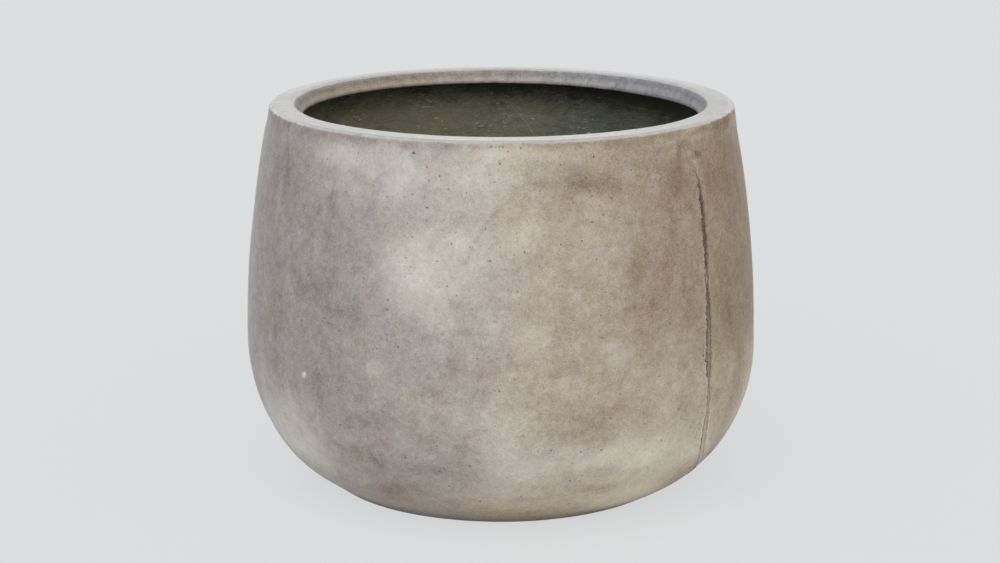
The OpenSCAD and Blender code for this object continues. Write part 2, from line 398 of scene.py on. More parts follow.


# ---------------------------------------------------------------- pits, stains and painted shade of the wall
# Pits that show in the wall's face: azimuth, height, radius, depth
PITS = [
    (-20.1, 435, 1.7, 1.5), (-27.7, 440, 1.0, 0.9), (-13.6, 413, 1.2, 1.1), (-16.1, 408, 1.2, 1.1),
    (-7.1, 414, 0.9, 0.8), (-19.2, 347, 1.2, 1.0), (-10.5, 342, 1.0, 0.9), (-1.3, 350, 0.9, 0.8),
    (5.1, 334, 1.3, 1.1), (2.5, 316, 0.9, 0.8), (1.6, 294, 1.0, 0.8), (12.4, 296, 1.0, 0.9),
    (-1.4, 260, 0.9, 0.7), (21.3, 431, 1.2, 1.1), (18.5, 400, 0.9, 0.8), (26.3, 388, 1.0, 0.9),
    (20.8, 322, 1.2, 1.0), (23.1, 370, 0.9, 0.8), (-12.1, 244, 1.0, 0.8), (-0.6, 220, 1.0, 0.8),
    (-1.2, 184, 1.1, 0.9), (11.5, 196, 1.0, 0.8), (-5.6, 119, 1.0, 0.8), (-2.1, 444.5, 1.1, 1.2),
    (-1.1, 444.2, 0.8, 1.0), (-0.3, 444.7, 0.9, 1.1), (0.5, 444.4, 0.8, 1.0), (4.6, 443, 1.3, 1.0),
    (53.0, 301, 0.9, 0.9), (53.6, 298, 0.9, 0.8), (49.7, 128, 1.2, 1.1), (49.6, 114, 1.2, 1.1),
    (49.7, 109, 1.0, 1.0), (49.0, 195, 1.4, 1.3), (48.1, 173, 1.1, 1.0), (48.6, 150, 0.9, 0.8),
    (51.5, 401, 1.0, 1.0), (51.9, 398, 0.8, 0.8), (51.4, 390, 1.1, 1.2), (51.6, 387, 0.9, 0.9),
    (50.6, 384, 0.9, 0.8), (51.5, 380, 1.0, 1.2), (50.4, 412, 0.8, 0.7),
]  # fmt: skip
RANDOM_PITS = 130
PIT_SEED = 7


def all_pits():
    """The listed pits and others strewn over the rest of the wall."""
    rng = np.random.default_rng(PIT_SEED)
    strewn = np.column_stack([
        rng.uniform(-180, 180, RANDOM_PITS),
        rng.uniform(30, 442, RANDOM_PITS),
        0.7 + 0.9 * rng.random(RANDOM_PITS) ** 2,
        0.5 + 0.6 * rng.random(RANDOM_PITS),
    ])
    return np.vstack([PITS, strewn])


WALL_PITS = all_pits()


def pit_depth(points, azimuth, z, pits):
    """Depth of the pits at each point of the wall."""
    depth = np.zeros(len(z))
    r = wall_r(z)
    wobble = 0.35 * noise(points, 1.6, 61) + 0.15 * noise(points, 0.7, 62)
    for pit_azimuth, pit_z, radius, deep in pits:
        near = np.abs(z - pit_z) < radius + 3
        turn = from_front(azimuth[near] - pit_azimuth)
        across = np.radians(turn) * r[near]
        far = np.hypot(across, z[near] - pit_z) / radius + wobble[near]
        depth[near] = np.maximum(depth[near], deep * (1 - ease(far, 0.25, 1.15)))
    return depth


# Azimuth, and how pale and how warm the bare wall is there, before its clouds are laid on
BARE_TURNS, BARE_TONES, BARE_WARMTHS = np.array([
    (-180, 0.2, 0.35), (-120, 0.22, 0.09), (-62, 0.15, 0.0), (-50, 0.17, 0.07), (-30, 0.21, 0.16),
    (-20, 0.27, 0.19), (-10, 0.3, 0.31), (0, 0.32, 0.54), (10, 0.3, 0.74), (20, 0.26, 0.8),
    (30, 0.19, 0.85), (50, 0.15, 0.93), (62, 0.04, 1.25), (78, -0.05, 1.35), (120, 0.2, 0.9),
    (180, 0.2, 0.35),
]).T  # fmt: skip

# Clouds in the wall's colour: azimuth, height, half width in degrees, half height, tone, warmth
CLOUDS = [
    # paler places, from the left to the right
    (-80, 410, 6, 36, 0.05, 0), (-80, 250, 8, 120, 0.08, -0.1), (-66, 140, 6, 40, 0.2, -0.1),
    (-61, 365, 1.3, 36, 0.06, 0), (-57, 90, 14, 46, 0.58, -0.2), (-54, 335, 5, 30, 0.06, 0),
    (-50, 142, 8, 18, 0.12, -0.1), (-50, 14, 12, 14, 0.04, 0), (-46, 394, 4, 9, 0.06, 0),
    (-41, 426, 8, 15, 0.26, 0), (-38, 424, 6, 18, 0.14, 0), (-38, 390, 7, 16, 0.17, 0),
    (-38, 58, 8, 12, 0.1, 0), (-33, 422, 5, 16, 0.18, 0), (-33, 410, 5, 12, 0.06, 0),
    (-32.2, 157, 3, 8, 0.07, 0), (-31.5, 376, 7, 20, 0.08, 0), (-28, 200, 3.5, 10, 0.15, 0),
    (-26, 438, 3, 8, 0.08, 0), (-25, 388, 6, 18, 0.13, 0), (-25, 178, 5, 14, 0.08, 0),
    (-24.5, 318, 3.5, 22, 0.14, 0), (-24, 416, 7.5, 24, 0.3, -0.1), (-18.5, 316, 7.6, 44, 0.26, 0),
    (-18, 284, 6, 22, 0.08, 0), (-16.5, 411, 4.5, 7, 0.1, 0), (-16, 440, 3, 7, 0.08, 0),
    (-15, 366, 6, 20, 0.075, 0), (-14, 312, 7, 46, 0.16, 0), (-12, 260, 3.5, 18, 0.16, 0),
    (-11, 406, 5, 7, 0.07, 0), (-10, 388, 12, 15, 0.13, 0), (-9.5, 342, 3, 12, 0.1, 0),
    (-9, 350, 5, 12, 0.08, 0), (-9, 160, 3, 7, 0.1, 0), (-8, 290, 3, 12, 0.09, 0),
    (-7.2, 328, 3.6, 48, 0.15, 0), (-6, 421, 10, 22, 0.24, 0), (-3, 325, 4, 20, 0.16, 0),
    (-1.5, 250, 2.5, 18, 0.1, 0), (-0.8, 392, 3, 20, 0.06, 0), (0, 406, 4, 7, 0.1, 0),
    (0, 265, 3, 12, 0.07, 0), (1, 150, 7, 18, 0.1, 0), (1, 104, 7, 48, 0.26, 0), (2, 438, 9, 9, 0.22, 0),
    (3, 300, 6, 14, 0.08, 0), (3, 20, 60, 14, 0.12, 0.2), (4, 346, 4, 18, 0.2, 0),
    (7, 360, 3, 9, 0.1, 0), (7, 236, 5, 18, 0.12, 0), (8, 80, 4, 20, 0.22, -0.1),
    (9, 46, 20, 18, 0.2, 0.1), (9.5, 310, 4, 28, 0.1, 0), (11, 193, 4.5, 9, 0.06, 0),
    (11.5, 122, 5, 14, 0.14, 0), (11.7, 75, 3, 10, 0.08, 0), (12, 353, 2.4, 16, 0.07, 0),
    (14, 437, 5, 8, 0.09, 0), (15, 118, 4, 10, 0.08, 0), (17, 270, 4, 18, 0.07, 0),
    (17, 182, 4, 10, 0.08, 0), (18, 96, 9, 18, 0.34, -0.15), (19, 70, 6, 8, 0.18, 0),
    (20, 22, 6, 7, 0.07, 0.1), (21, 224, 6, 14, 0.06, 0), (22, 330, 8, 40, 0.08, 0),
    (22, 260, 5, 10, 0.06, 0), (23, 62, 3, 7, 0.12, 0), (25, 214, 3.5, 14, 0.06, -0.1),
    (25.5, 66, 5, 9, 0.09, 0.1), (26, 200, 6, 36, 0.14, 0), (28.5, 142, 4.5, 24, 0.17, 0),
    (29, 118, 4, 9, 0.13, 0), (30, 98, 9, 20, 0.3, -0.1), (30.3, 125, 3, 8, 0.07, 0),
    (31, 380, 2.6, 34, 0.05, 0), (31, 66, 7, 8, 0.12, 0), (36, 32, 13, 20, 0.5, 0),
    (36.6, 394, 2, 14, 0.08, 0), (37, 178, 5, 44, 0.11, 0), (37, 142, 3, 14, 0.16, 0),
    (40, 126, 8, 16, 0.1, 0), (41, 222, 6, 18, 0.07, 0), (42, 82, 15, 40, 0.5, -0.1),
    (44, 170, 12, 26, 0.12, 0), (47, 150, 4, 30, 0.08, 0), (50, 443, 10, 7, 0.22, 0.2),
    (55, 165, 7, 50, 0.12, 0), (56, 104, 8, 44, 0.2, 0), (57, 76, 8, 22, 0.15, 0),
    (60, 150, 4, 30, 0.09, 0), (60, 42, 7, 20, 0.1, 0), (62, 168, 3, 22, 0.12, 0),
    (66, 85, 5, 25, 0.06, 0), (68, 15, 9, 14, 0.3, 0), (70, 76, 5, 18, 0.15, 0),
    (71, 108, 8, 40, 0.22, -0.1), (76, 436, 7, 14, 0.2, 0), (78, 135, 12, 55, 0.4, -0.3),
    # darker places, from the left to the right
    (-65, 122, 5, 24, -0.09, 0), (-64.5, 385, 3, 34, -0.07, 0), (-60, 395, 4, 15, -0.08, 0),
    (-60, 104, 5, 20, -0.09, 0), (-59.3, 398, 1.4, 26, -0.12, 0), (-57, 404, 1.6, 34, -0.08, 0),
    (-57, 292, 2, 5, -0.09, 0), (-57, 258, 2.2, 9, -0.09, 0), (-57, 215, 2.5, 12, -0.09, 0),
    (-57, 184, 2, 9, -0.13, 0), (-53.5, 106, 4, 18, -0.09, 0), (-53, 380, 1.1, 40, -0.06, 0),
    (-53, 352, 2, 14, -0.1, 0), (-48, 335, 0.9, 18, -0.06, 0), (-45, 270, 5, 12, -0.09, 0),
    (-42, 275, 3, 30, -0.05, 0), (-42, 165, 2, 26, -0.1, 0), (-41.5, 340, 0.9, 26, -0.09, 0),
    (-40, 376, 1.2, 12, -0.12, 0), (-40, 373, 1.3, 14, -0.14, 0), (-38.8, 295, 2.5, 34, -0.07, 0),
    (-36, 387, 1, 10, -0.12, 0), (-36, 98, 6, 7, -0.13, 0.1), (-35, 256, 4, 13, -0.09, 0),
    (-34, 427, 4, 9, -0.09, 0), (-32, 243, 3, 10, -0.08, 0), (-31, 372, 5, 17, -0.08, 0),
    (-30, 132, 2, 5, -0.1, 0), (-29, 419, 2.2, 8, -0.09, 0), (-29, 87, 2, 8, -0.18, 0.1),
    (-28.5, 394, 1.2, 12, -0.1, 0), (-28, 130, 4, 10, -0.06, 0), (-28, 48, 4, 8, -0.15, 0.1),
    (-26, 408, 2.5, 10, -0.08, 0), (-22, 56, 8, 12, -0.05, 0), (-20, 84, 4, 8, -0.1, 0.1),
    (-20, 38, 16, 26, -0.04, 0.2), (-16, 200, 4, 20, -0.05, 0), (-15, 333, 2, 10, -0.06, 0),
    (-14, 181, 2.5, 8, -0.1, 0.1), (-13.6, 129, 1.5, 5, -0.12, 0), (-13, 83, 3, 9, -0.13, 0.1),
    (-10, 212, 2.5, 9, -0.1, 0), (-10, 208, 1.6, 10, -0.1, 0), (-9, 250, 2.5, 10, -0.09, 0),
    (-8, 118, 1.6, 10, -0.15, 0), (-7, 78, 4, 10, -0.08, 0), (-5.4, 92, 4, 14, -0.08, 0),
    (-4, 205, 3.5, 7, -0.12, 0), (-4, 178, 2, 8, -0.14, 0), (-3.5, 136, 4, 9, -0.07, 0),
    (-3, 40, 12, 7, -0.05, 0.2), (2, 20, 34, 12, -0.14, 0), (5, 24, 14, 8, -0.1, 0.2),
    (8, 405, 3, 7, -0.12, 0.1), (10, 170, 3, 10, -0.07, 0), (12, 197, 1.6, 3.5, -0.22, -0.1),
    (14, 254, 5, 16, -0.1, 0), (14, 130, 5, 8, -0.06, 0), (15, 206, 3, 8, -0.09, 0),
    (18, 392, 3, 8, -0.06, 0), (19, 137, 5, 9, -0.09, 0.1), (20, 408, 7.5, 13, -0.24, 0),
    (21, 402, 4, 6, -0.08, 0), (24.5, 155, 4, 7, -0.1, 0.1), (27, 394, 5, 8, -0.12, 0.1),
    (27, 150, 3, 8, -0.1, 0), (30.3, 310, 1.2, 14, -0.14, 0), (32, 330, 6, 60, -0.05, 0),
    (32, 263, 4, 10, -0.13, 0.1), (32.4, 147, 2, 4, -0.1, 0), (32.5, 385, 1.3, 28, -0.06, 0),
    (32.5, 317, 1.2, 8, -0.1, 0.1), (33, 400, 9, 26, -0.01, 0), (37.5, 290, 1.6, 30, -0.08, 0),
    (38.5, 310, 1.2, 24, -0.12, 0), (40, 388, 4, 30, -0.1, 0), (40.5, 350, 1, 24, -0.1, 0),
    (40.6, 333, 2, 30, -0.08, 0), (42.5, 390, 2.5, 22, -0.05, 0), (43.8, 266, 1.3, 30, -0.14, 0),
    (44, 396, 3, 18, -0.12, 0), (47, 437, 2.2, 7, -0.16, 0), (47.5, 390, 2.6, 34, -0.1, 0),
    (56, 392, 4, 26, -0.1, 0), (58, 250, 5, 50, -0.09, 0), (66, 400, 8, 60, -0.06, 0),
    (70, 439, 3, 5, -0.15, 0.2),
    # places that are only warmer or cooler
    (-16, 170, 8, 50, 0, 0.1), (10, 30, 24, 18, 0, 0.3), (13, 408, 8, 18, 0, -0.12),
    (16, 110, 12, 40, 0, -0.12),
]  # fmt: skip

# Distances to the right of the front seam's foot at which pale tool marks run beside it, and the
# half width and tone of each mark
TOOL_MARKS = (7.5, 11, 16)
TOOL_MARK = (0.9, 0.16)

# Drawn marks on the wall: half width in millimetres, tone, and the azimuths and heights they run through
STROKES = [
    # a long dark sweep, a scratch, a dark line above the foot, and a hook left of the front pin fill
    (2.6, -0.15, [(3.4, 392), (0, 382), (-2.3, 370), (-4.6, 354), (-6.5, 336), (-7.6, 318)]),
    (0.8, -0.35, [(22.5, 220), (22.0, 213), (21.2, 208)]),
    (3.6, -0.1, [(3, 45), (12, 48), (19, 54), (27, 57)]),
    (3.4, -0.13, [(55.5, 444), (50.5, 441), (46.8, 436), (45.3, 429), (45, 419), (44.8, 405)]),
    # pale and dark marks between the front pin fill and the seam's top
    (1.0, 0.25, [(48.9, 424), (49.4, 414), (50.6, 411)]),
    (0.8, 0.32, [(50.4, 412), (50.7, 405), (51.2, 396)]),
    (0.6, 0.28, [(51.1, 410), (51.5, 402)]),
    (0.6, 0.25, [(51.9, 394), (52.1, 386)]),
    (0.9, 0.35, [(52.9, 383), (53.0, 381)]),
    (0.9, -0.3, [(50.6, 405), (50.8, 401)]),
    (1.0, -0.42, [(50.7, 397), (51.0, 390)]),
    # pale specks of lime
    (1.3, 0.9, [(-46.9, 176), (-46.8, 175)]),
    (0.9, 0.5, [(-11.7, 88), (-11.6, 87.5)]),
]


def wall_tone(points, azimuth, z):
    """How pale, and how warm, the wall's colour is at each point, from 0 to 1."""
    # lumps bend the outlines of the clouds
    bent = azimuth + 2.2 * layered(points, 30, 11) + 0.8 * noise(points, 8, 14)
    raised = z + 8 * layered(points, 28, 12) + 2.5 * noise(points, 8, 15)
    turn = from_front(azimuth)
    tone = np.interp(turn, BARE_TURNS, BARE_TONES) + 0.06 * layered(points, 60, 20, 4)
    warmth = np.interp(turn, BARE_TURNS, BARE_WARMTHS) + 0.12 * layered(points, 50, 26)
    # upright streaks on both sides, and a painted shadow line under the top edge
    streaks = layered(points * (1, 1, 0.16), 11, 22, 2)
    tone = tone + 0.05 * np.abs(np.sin(np.radians(turn))) * streaks
    under_edge_shadow = ease(z, 436, 441) * (1 - ease(z, 445, 448))
    tone = tone - 0.12 * under_edge_shadow * ease(noise(points, 14, 24), -0.6, 0.5)
    for cloud_azimuth, cloud_z, half_w, half_h, pale, warm in CLOUDS:
        across = from_front(bent - cloud_azimuth) / half_w
        share = np.exp(-((across**2 + ((raised - cloud_z) / half_h) ** 2) ** 1.5))
        tone = tone + pale * share
        warmth = warmth + warm * share
    for half_width, pale, path in STROKES + tool_marks():
        far = stroke_distance(path, turn + 0.2 * noise(points, 6, 17), z)
        tone = tone + pale * (1 - ease(far, 0.3 * half_width, 1.5 * half_width))
    return tone, warmth


def tool_marks():
    """Thin pale lines that follow the front seam where it bends off."""
    heights = np.arange(52, 150, 12)
    radii = wall_r(heights)
    turns = SEAM_TURN + seam_swing(radii, heights)
    return [(*TOOL_MARK, list(zip(turns + np.degrees(d / radii), heights))) for d in TOOL_MARKS]


def stroke_distance(path, turn, z):
    """Distance in millimetres on the wall from a mark that runs through azimuths and heights."""
    scale = np.radians(1) * wall_r(z)
    far = np.full(len(z), 1e3)
    for (turn_a, z_a), (turn_b, z_b) in itertools.pairwise(path):
        run, rise = (turn_b - turn_a) * scale, z_b - z_a
        across, above = (turn - turn_a) * scale, z - z_a
        part = np.clip((across * run + above * rise) / (run**2 + rise**2), 0, 1)
        far = np.minimum(far, np.hypot(across - part * run, above - part * rise))
    return far


# ---------------------------------------------------------------- half shells
SEAT_R = float(wall_r(BOWL_H, SEAT_INSET))  # radius of the joint between the rim and the shells
FLAT_R = 150.0  # out to here the floor is flat, and laid in even cells
UPPER_WALL_R = RIM_R - 20  # everything on the shells that is this far out is on the wall
WALL_CELL = 5.0
LIP_CELL = 5.0  # width of the cells beside a seam
INNER_EVERY = 6  # columns of a shell's outside to one of its inside
FINE_ROUND = 3.5  # how far round a pit the cells are split
WALL_SWELL = 0.45  # half the height of the wall's slow swells, then of its lumps and its grain
WALL_LUMPS = 0.12
WALL_GRAIN = 0.06
SEAT_SINK = 0.2  # how deep the top is rubbed on both sides of the line between rim and shells
EDGE_BAND = 7.0  # height of the band at the top that is worn and chipped
EDGE_SHIFT = 1.3  # how far the top edge is laid over to the right
CHIPPED_TURN = -72  # azimuth of the side whose top edge is chipped most
CHIPPED_SPREAD = 26
JOINT_CRUMBLE = 1.1  # depth to which the edges of a joint have broken away
FOOT_SHADE = 0.35  # how much darker the wall is painted right at the ground: painted shade where it meets the floor

# How pale the painted light on the top edge is at some azimuths
EDGE_TURNS = (-180, -100, -66, -42, 0, 45, 70, 110, 180)
EDGE_TONES = (0.7, 0.7, 0.45, 0.12, 0.0, 0.12, 0.5, 0.6, 0.7)
# Heights, and how pale the painted highlight makes the right-hand lip of each seam there
LIP_HIGHLIGHT = ((60, 100, 260, 300, 380), (0.1, 0.28, 0.28, 0.1, 0))
# Heights, and how far the hand-laid wall lies over to the right there, on either side of the bowl
LEAN_RIGHT = ((7, 24, 50, 85, 190), (0, 2.7, 2.9, 1.9, 0))
LEAN_LEFT = (
    (0, 3, 6, 10, 18, 24, 30, 37, 47, 59, 80, 105, 130, 148, 166, 190),
    (0, 0, 0.9, 1.7, 2.0, 1.2, 0.5, 0.1, 0.1, 0.9, 2.0, 2.2, 2.0, 1.4, 0.5, 0),
)


def shell_outline():
    """The shell's outside, from the drain hole under the base to the top edge behind the rim."""
    edge_z = BOWL_H - EDGE_R
    edge_x = BELLY_R - UPPER_R + math.sqrt((UPPER_R - EDGE_R) ** 2 - (edge_z - BELLY_H) ** 2)
    lean = math.degrees(math.atan2(edge_z - BELLY_H, edge_x - (BELLY_R - UPPER_R)))
    rounding, lower = lower_line(0, 0, FOOT_R, WALL_CELL, 2.0)
    wall_top = BELLY_H + UPPER_R * math.sin(math.radians(lean))
    return Outline(
        line((SLEEVE_R, RECESS_H), (RECESS_R - RECESS_SLOPE, RECESS_H), 12),
        line((RECESS_R - RECESS_SLOPE, RECESS_H), (RECESS_R, 0), 4),
        line((RECESS_R, 0), rounding[0], 8),
        rounding,
        lower,
        upper_line(0, wall_top, WALL_CELL),
        arc((edge_x, edge_z), EDGE_R, lean, 90, 2.4),
        line((edge_x, BOWL_H), (float(wall_r(BOWL_H, SHELL_T)), BOWL_H), 1.0),
    )


def shell_inside():
    """The shell's inside, from the drain hole up the wall to just below the top edge."""
    return Outline(
        line((SLEEVE_R, FLOOR_Z), (FLAT_R, FLOOR_Z), 45),
        *lower_line(SHELL_T, FLOOR_Z, CORNER_R, 25, 15),
        upper_line(SHELL_T, BOWL_H - 4, 30),
        side=-1,
    )


def column_turn(column, columns, r, left_lip, right_lip):
    """Angle from the shell's left seam at each column, with the first and last columns at the lips."""
    degree = np.degrees(1 / r)
    left = np.minimum(column, 1) * left_lip + np.clip(column - 1, 0, 1) * LIP_CELL
    from_right = columns - column
    right = np.minimum(from_right, 1) * right_lip + np.clip(from_right - 1, 0, 1) * LIP_CELL
    start = (left_lip + LIP_CELL) * degree
    end = 180 - (right_lip + LIP_CELL) * degree
    middle = start + (end - start) * (column - 2) / (columns - 4)
    turn = np.where(column < 2, left * degree, middle)
    return np.where(from_right < 2, 180 - right * degree, turn)


def half_shell(name, node, left_seam, right_seam):
    """One of the two half shells, from the lip of its left seam round to that of its right seam."""
    outline = shell_outline()
    inside = shell_inside()
    columns = round(math.pi * BELLY_R / WALL_CELL)
    inner_columns = columns // INNER_EVERY
    left_azimuth = left_seam.azimuth
    if left_azimuth > right_seam.azimuth:
        left_azimuth -= 360

    def spots(column, row):
        r, z, nr, nz = outline.at(row)
        left_lip = left_seam.lips(z)[1]
        right_lip = right_seam.lips(z)[0]
        turn = column_turn(column, columns, r, left_lip, right_lip)
        azimuth = left_azimuth + turn + seam_swing(r, z)
        return r, z, nr, nz, azimuth, turn, left_lip, right_lip

    def front_place(column, row):
        r, z, nr, nz, azimuth, turn, left_lip, right_lip = spots(column, row)
        sides = [(np.radians(turn) * r, left_lip), (np.radians(180 - turn) * r, right_lip)]
        depth, stain_and_light = shell_relief(azimuth, r, z, nz, sides)
        return around(r - depth * nr + slide(azimuth, r, z), z - depth * nz, azimuth), stain_and_light

    def back_place(column, row):
        r, z, _, _ = inside.at(row)
        turn = column / inner_columns * 180
        return around(r, z, left_azimuth + turn + seam_swing(r, z))

    front = Grid(columns, outline.rows, fine_cells(spots, columns, outline.rows))
    back = Grid(inner_columns, inside.rows)
    made = solid(name, front, back, front_place, back_place)
    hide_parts(node)
    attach(made, "bowl")
    return made


def fine_cells(spots, columns, rows):
    """Marks the cells of a shell that a pit, a lip or the top edge runs through."""
    column, row = np.meshgrid(np.arange(columns) + 0.5, np.arange(rows) + 0.5, indexing="ij")
    r, z, _, _, azimuth, *_ = spots(column.ravel(), row.ravel())
    fine = (z > BOWL_H - EDGE_BAND) & (r > 200)
    on_wall = r > RECESS_R + 20
    for pit_azimuth, pit_z, radius, _ in WALL_PITS:
        across = np.radians(from_front(azimuth - pit_azimuth)) * r
        reach = radius + FINE_ROUND
        fine |= on_wall & (np.abs(across) < reach) & (np.abs(z - pit_z) < reach)
    beside_seam = (column.ravel() < 2) | (column.ravel() > columns - 2)
    fine |= beside_seam & on_wall
    return fine.reshape(columns, rows)


def shell_relief(azimuth, r, z, nz, sides):
    """Depth below the true face, and the marks with painted light and shade, at each point of a shell's
    outside.

    sides holds the distance to the shell's left and right seam, each with the width of its lip.
    """
    points = around(r, z, azimuth)
    outside = ease(r, RECESS_R - 2, RECESS_R + 30)
    depth = WALL_SWELL * (1 + layered(points, 95, 1)) + WALL_LUMPS * (1 + layered(points, 22, 4, 2))
    depth = depth + WALL_GRAIN * noise(points, 5, 7) - lean(azimuth, z)
    pits = pit_depth(points, azimuth, z, WALL_PITS) * outside
    edge = ease(z, BOWL_H - EDGE_BAND, BOWL_H - 2.5)
    side = np.exp(-((from_front(azimuth - CHIPPED_TURN) / CHIPPED_SPREAD) ** 2))
    chipping = ease(layered(points, 11, 30, 3) + 0.16 * side, 0.38, 0.75)
    nicks = 0.2 * side * np.maximum(noise(points, 2.4, 33), 0)
    chips = edge * (1 - ease(nz, 0.97, 1.0)) * (0.1 + 0.9 * chipping + nicks)
    open_joint = ease(z, SEAM_FOOT - 1, SEAM_FOOT + 1) * (1 - ease(z, SEAM_TOP - 2, SEAM_TOP))
    open_joint = open_joint * outside
    groove, worn = joint_relief(points, open_joint, sides)
    from_right, right_lip = sides[1]
    # A painted highlight along the lip at the shell's right-hand seam.
    lip_highlight = open_joint * (1 - ease(from_right - right_lip, 0, 4))
    level = (1 - ease(r, SEAT_R, SEAT_R + 2.5)) * (z > BOWL_H - 0.2)
    depth = depth * (1 - 0.6 * edge) + pits + chips + groove + worn + pin_holes(azimuth, r, z)
    depth = depth + (SEAT_SINK - depth) * level
    tone, warmth = wall_tone(points, azimuth, z)
    tone = tone + lip_highlight * np.interp(z, *LIP_HIGHLIGHT)
    tone, warmth, painted_top_light_or_slurry = top_edge_tone(points, azimuth, z, nz, side, chipping, tone, warmth)
    # Painted shade where the wall meets the floor.
    tone = tone - FOOT_SHADE * (1 - ease(z, 2, 20)) * outside
    # This channel is painted shade in the pits, chips, the joint's slot and its crumbled edges, with the
    # damp smudge round the pin holes added.
    hollow_shade_and_smudge = pits / 1.2 + 0.3 * chipping * edge + groove / 2.5 + 0.35 * worn
    hollow_shade_and_smudge = np.clip(hollow_shade_and_smudge + 0.65 * pin_smudge(azimuth, r, z), 0, 1)
    return depth, stain_and_light_values(tone, warmth, hollow_shade_and_smudge, painted_top_light_or_slurry)


def joint_relief(points, open_joint, sides):
    """Depth of the joint's slot and of its crumbled edges."""
    groove = 0.0
    worn = 0.0
    for away, lip in sides:
        sunk = 1 - ease(away, lip * (1 - 1.3 / SPLIT), lip)
        groove = np.maximum(groove, open_joint * SEAM_DEPTH * sunk)
        beyond = away - lip
        crumble = ease(layered(points, 4.2, 36, 2), 0.0, 0.6) * (1 - ease(beyond, 0.3, 3.2))
        worn = np.maximum(worn, open_joint * JOINT_CRUMBLE * crumble * (beyond > -0.02 * lip))
    return groove, worn


def top_edge_tone(points, azimuth, z, nz, side, chipping, tone, warmth):
    """Tone and warmth with the top edge painted pale where it faces up, as lit from above, and rusty, and
    how far that painted light reaches.
    """
    turn = from_front(azimuth)
    right = ease(turn, 10, 50) * (1 - ease(turn, 110, 130))
    ragged = (0.04 + 0.05 * side + 0.1 * right) * noise(points, 8, 38) - 0.15 * chipping
    # Paler where the top edge faces up: painted light from above.
    painted_top_light_or_slurry = ease(nz + ragged, 0.38, 0.72) * ease(z, 430, 440)
    rust = np.sin(math.pi * painted_top_light_or_slurry) * right
    rust = rust * (0.6 + 0.4 * noise(points, 9, 40))
    edge_tone = np.interp(turn, EDGE_TURNS, EDGE_TONES) + 0.12 * noise(points, 9, 39)
    tone = tone + painted_top_light_or_slurry * (edge_tone - tone) - 0.35 * rust
    warmth = (warmth + 0.4 * rust) * (1 - painted_top_light_or_slurry * ease(nz + ragged, 0.7, 0.98))
    return tone, warmth, painted_top_light_or_slurry


def lean(azimuth, z):
    """How far the wall stands out of the true curve where it lies over to the right."""
    across = np.sin(np.radians(azimuth))
    right = np.interp(z, *LEAN_RIGHT)
    left = np.interp(z, *LEAN_LEFT) + ease(z, 260, 340) * (1 - ease(z, 430, 445))
    return np.maximum(across, 0) * right - np.maximum(-across, 0) * left


def slide(azimuth, r, z):
    """How far the wall's top is laid over to the right, towards its edge."""
    share = np.sin(np.radians(azimuth)) * ease(z, 415, 442) * ease(r, SEAT_R, SEAT_R + 4)
    return EDGE_SHIFT * share


def from_pin(azimuth, r, z, aside=0.0, width=1.0):
    """Distance from a place aside degrees to the right of the nearer mould-pin hole."""
    turn = (azimuth - SEAM_TURN - aside + 90) % 180 - 90
    return np.hypot(np.radians(turn) * r / width, z - PIN_H)


def pin_smudge(azimuth, r, z):
    """1 in the damp-looking spot round each mould-pin hole, which lies a little to its right."""
    far = from_pin(azimuth, r, z, aside=1.2, width=1.4)
    return (1 - ease(far, 2.5, 6.0)) * (r > UPPER_WALL_R)


def pin_holes(azimuth, r, z):
    """Depth of the mould-pin holes above the two seams, whose rims are worn soft."""
    far = from_pin(azimuth, r, z)
    worn = 0.5 * (1 - ease(far, PIN_R - 1, PIN_R + 2.5))
    hole = (PIN_DEPTH - 0.3) * (1 - ease(far, PIN_R - 0.6, PIN_R))
    return (worn + hole) * (r > UPPER_WALL_R)


# ---------------------------------------------------------------- mortar and pin fills
MORTAR_STEP = 0.9
MORTAR_COLUMNS = 14
MORTAR_BACK = (2, 60)  # columns and rows of its plain back
MORTAR_END = 0.4  # gap between the mortar and both ends of the joint
MORTAR_WARMTH = 0.7
PATCH_CELLS = 16
PATCH_BACK_CELLS = 4
PATCH_R = PIN_R + 0.3
PATCH_DEPTH = 1.1
# Heights, and how much paler the mortar's right-hand side and its slurry are there
FADE = ((60, 140, 170), (0.9, 0.7, 0))
SLURRY = ((7, 60, 100, 150), (0.75, 0.65, 0.35, 0))


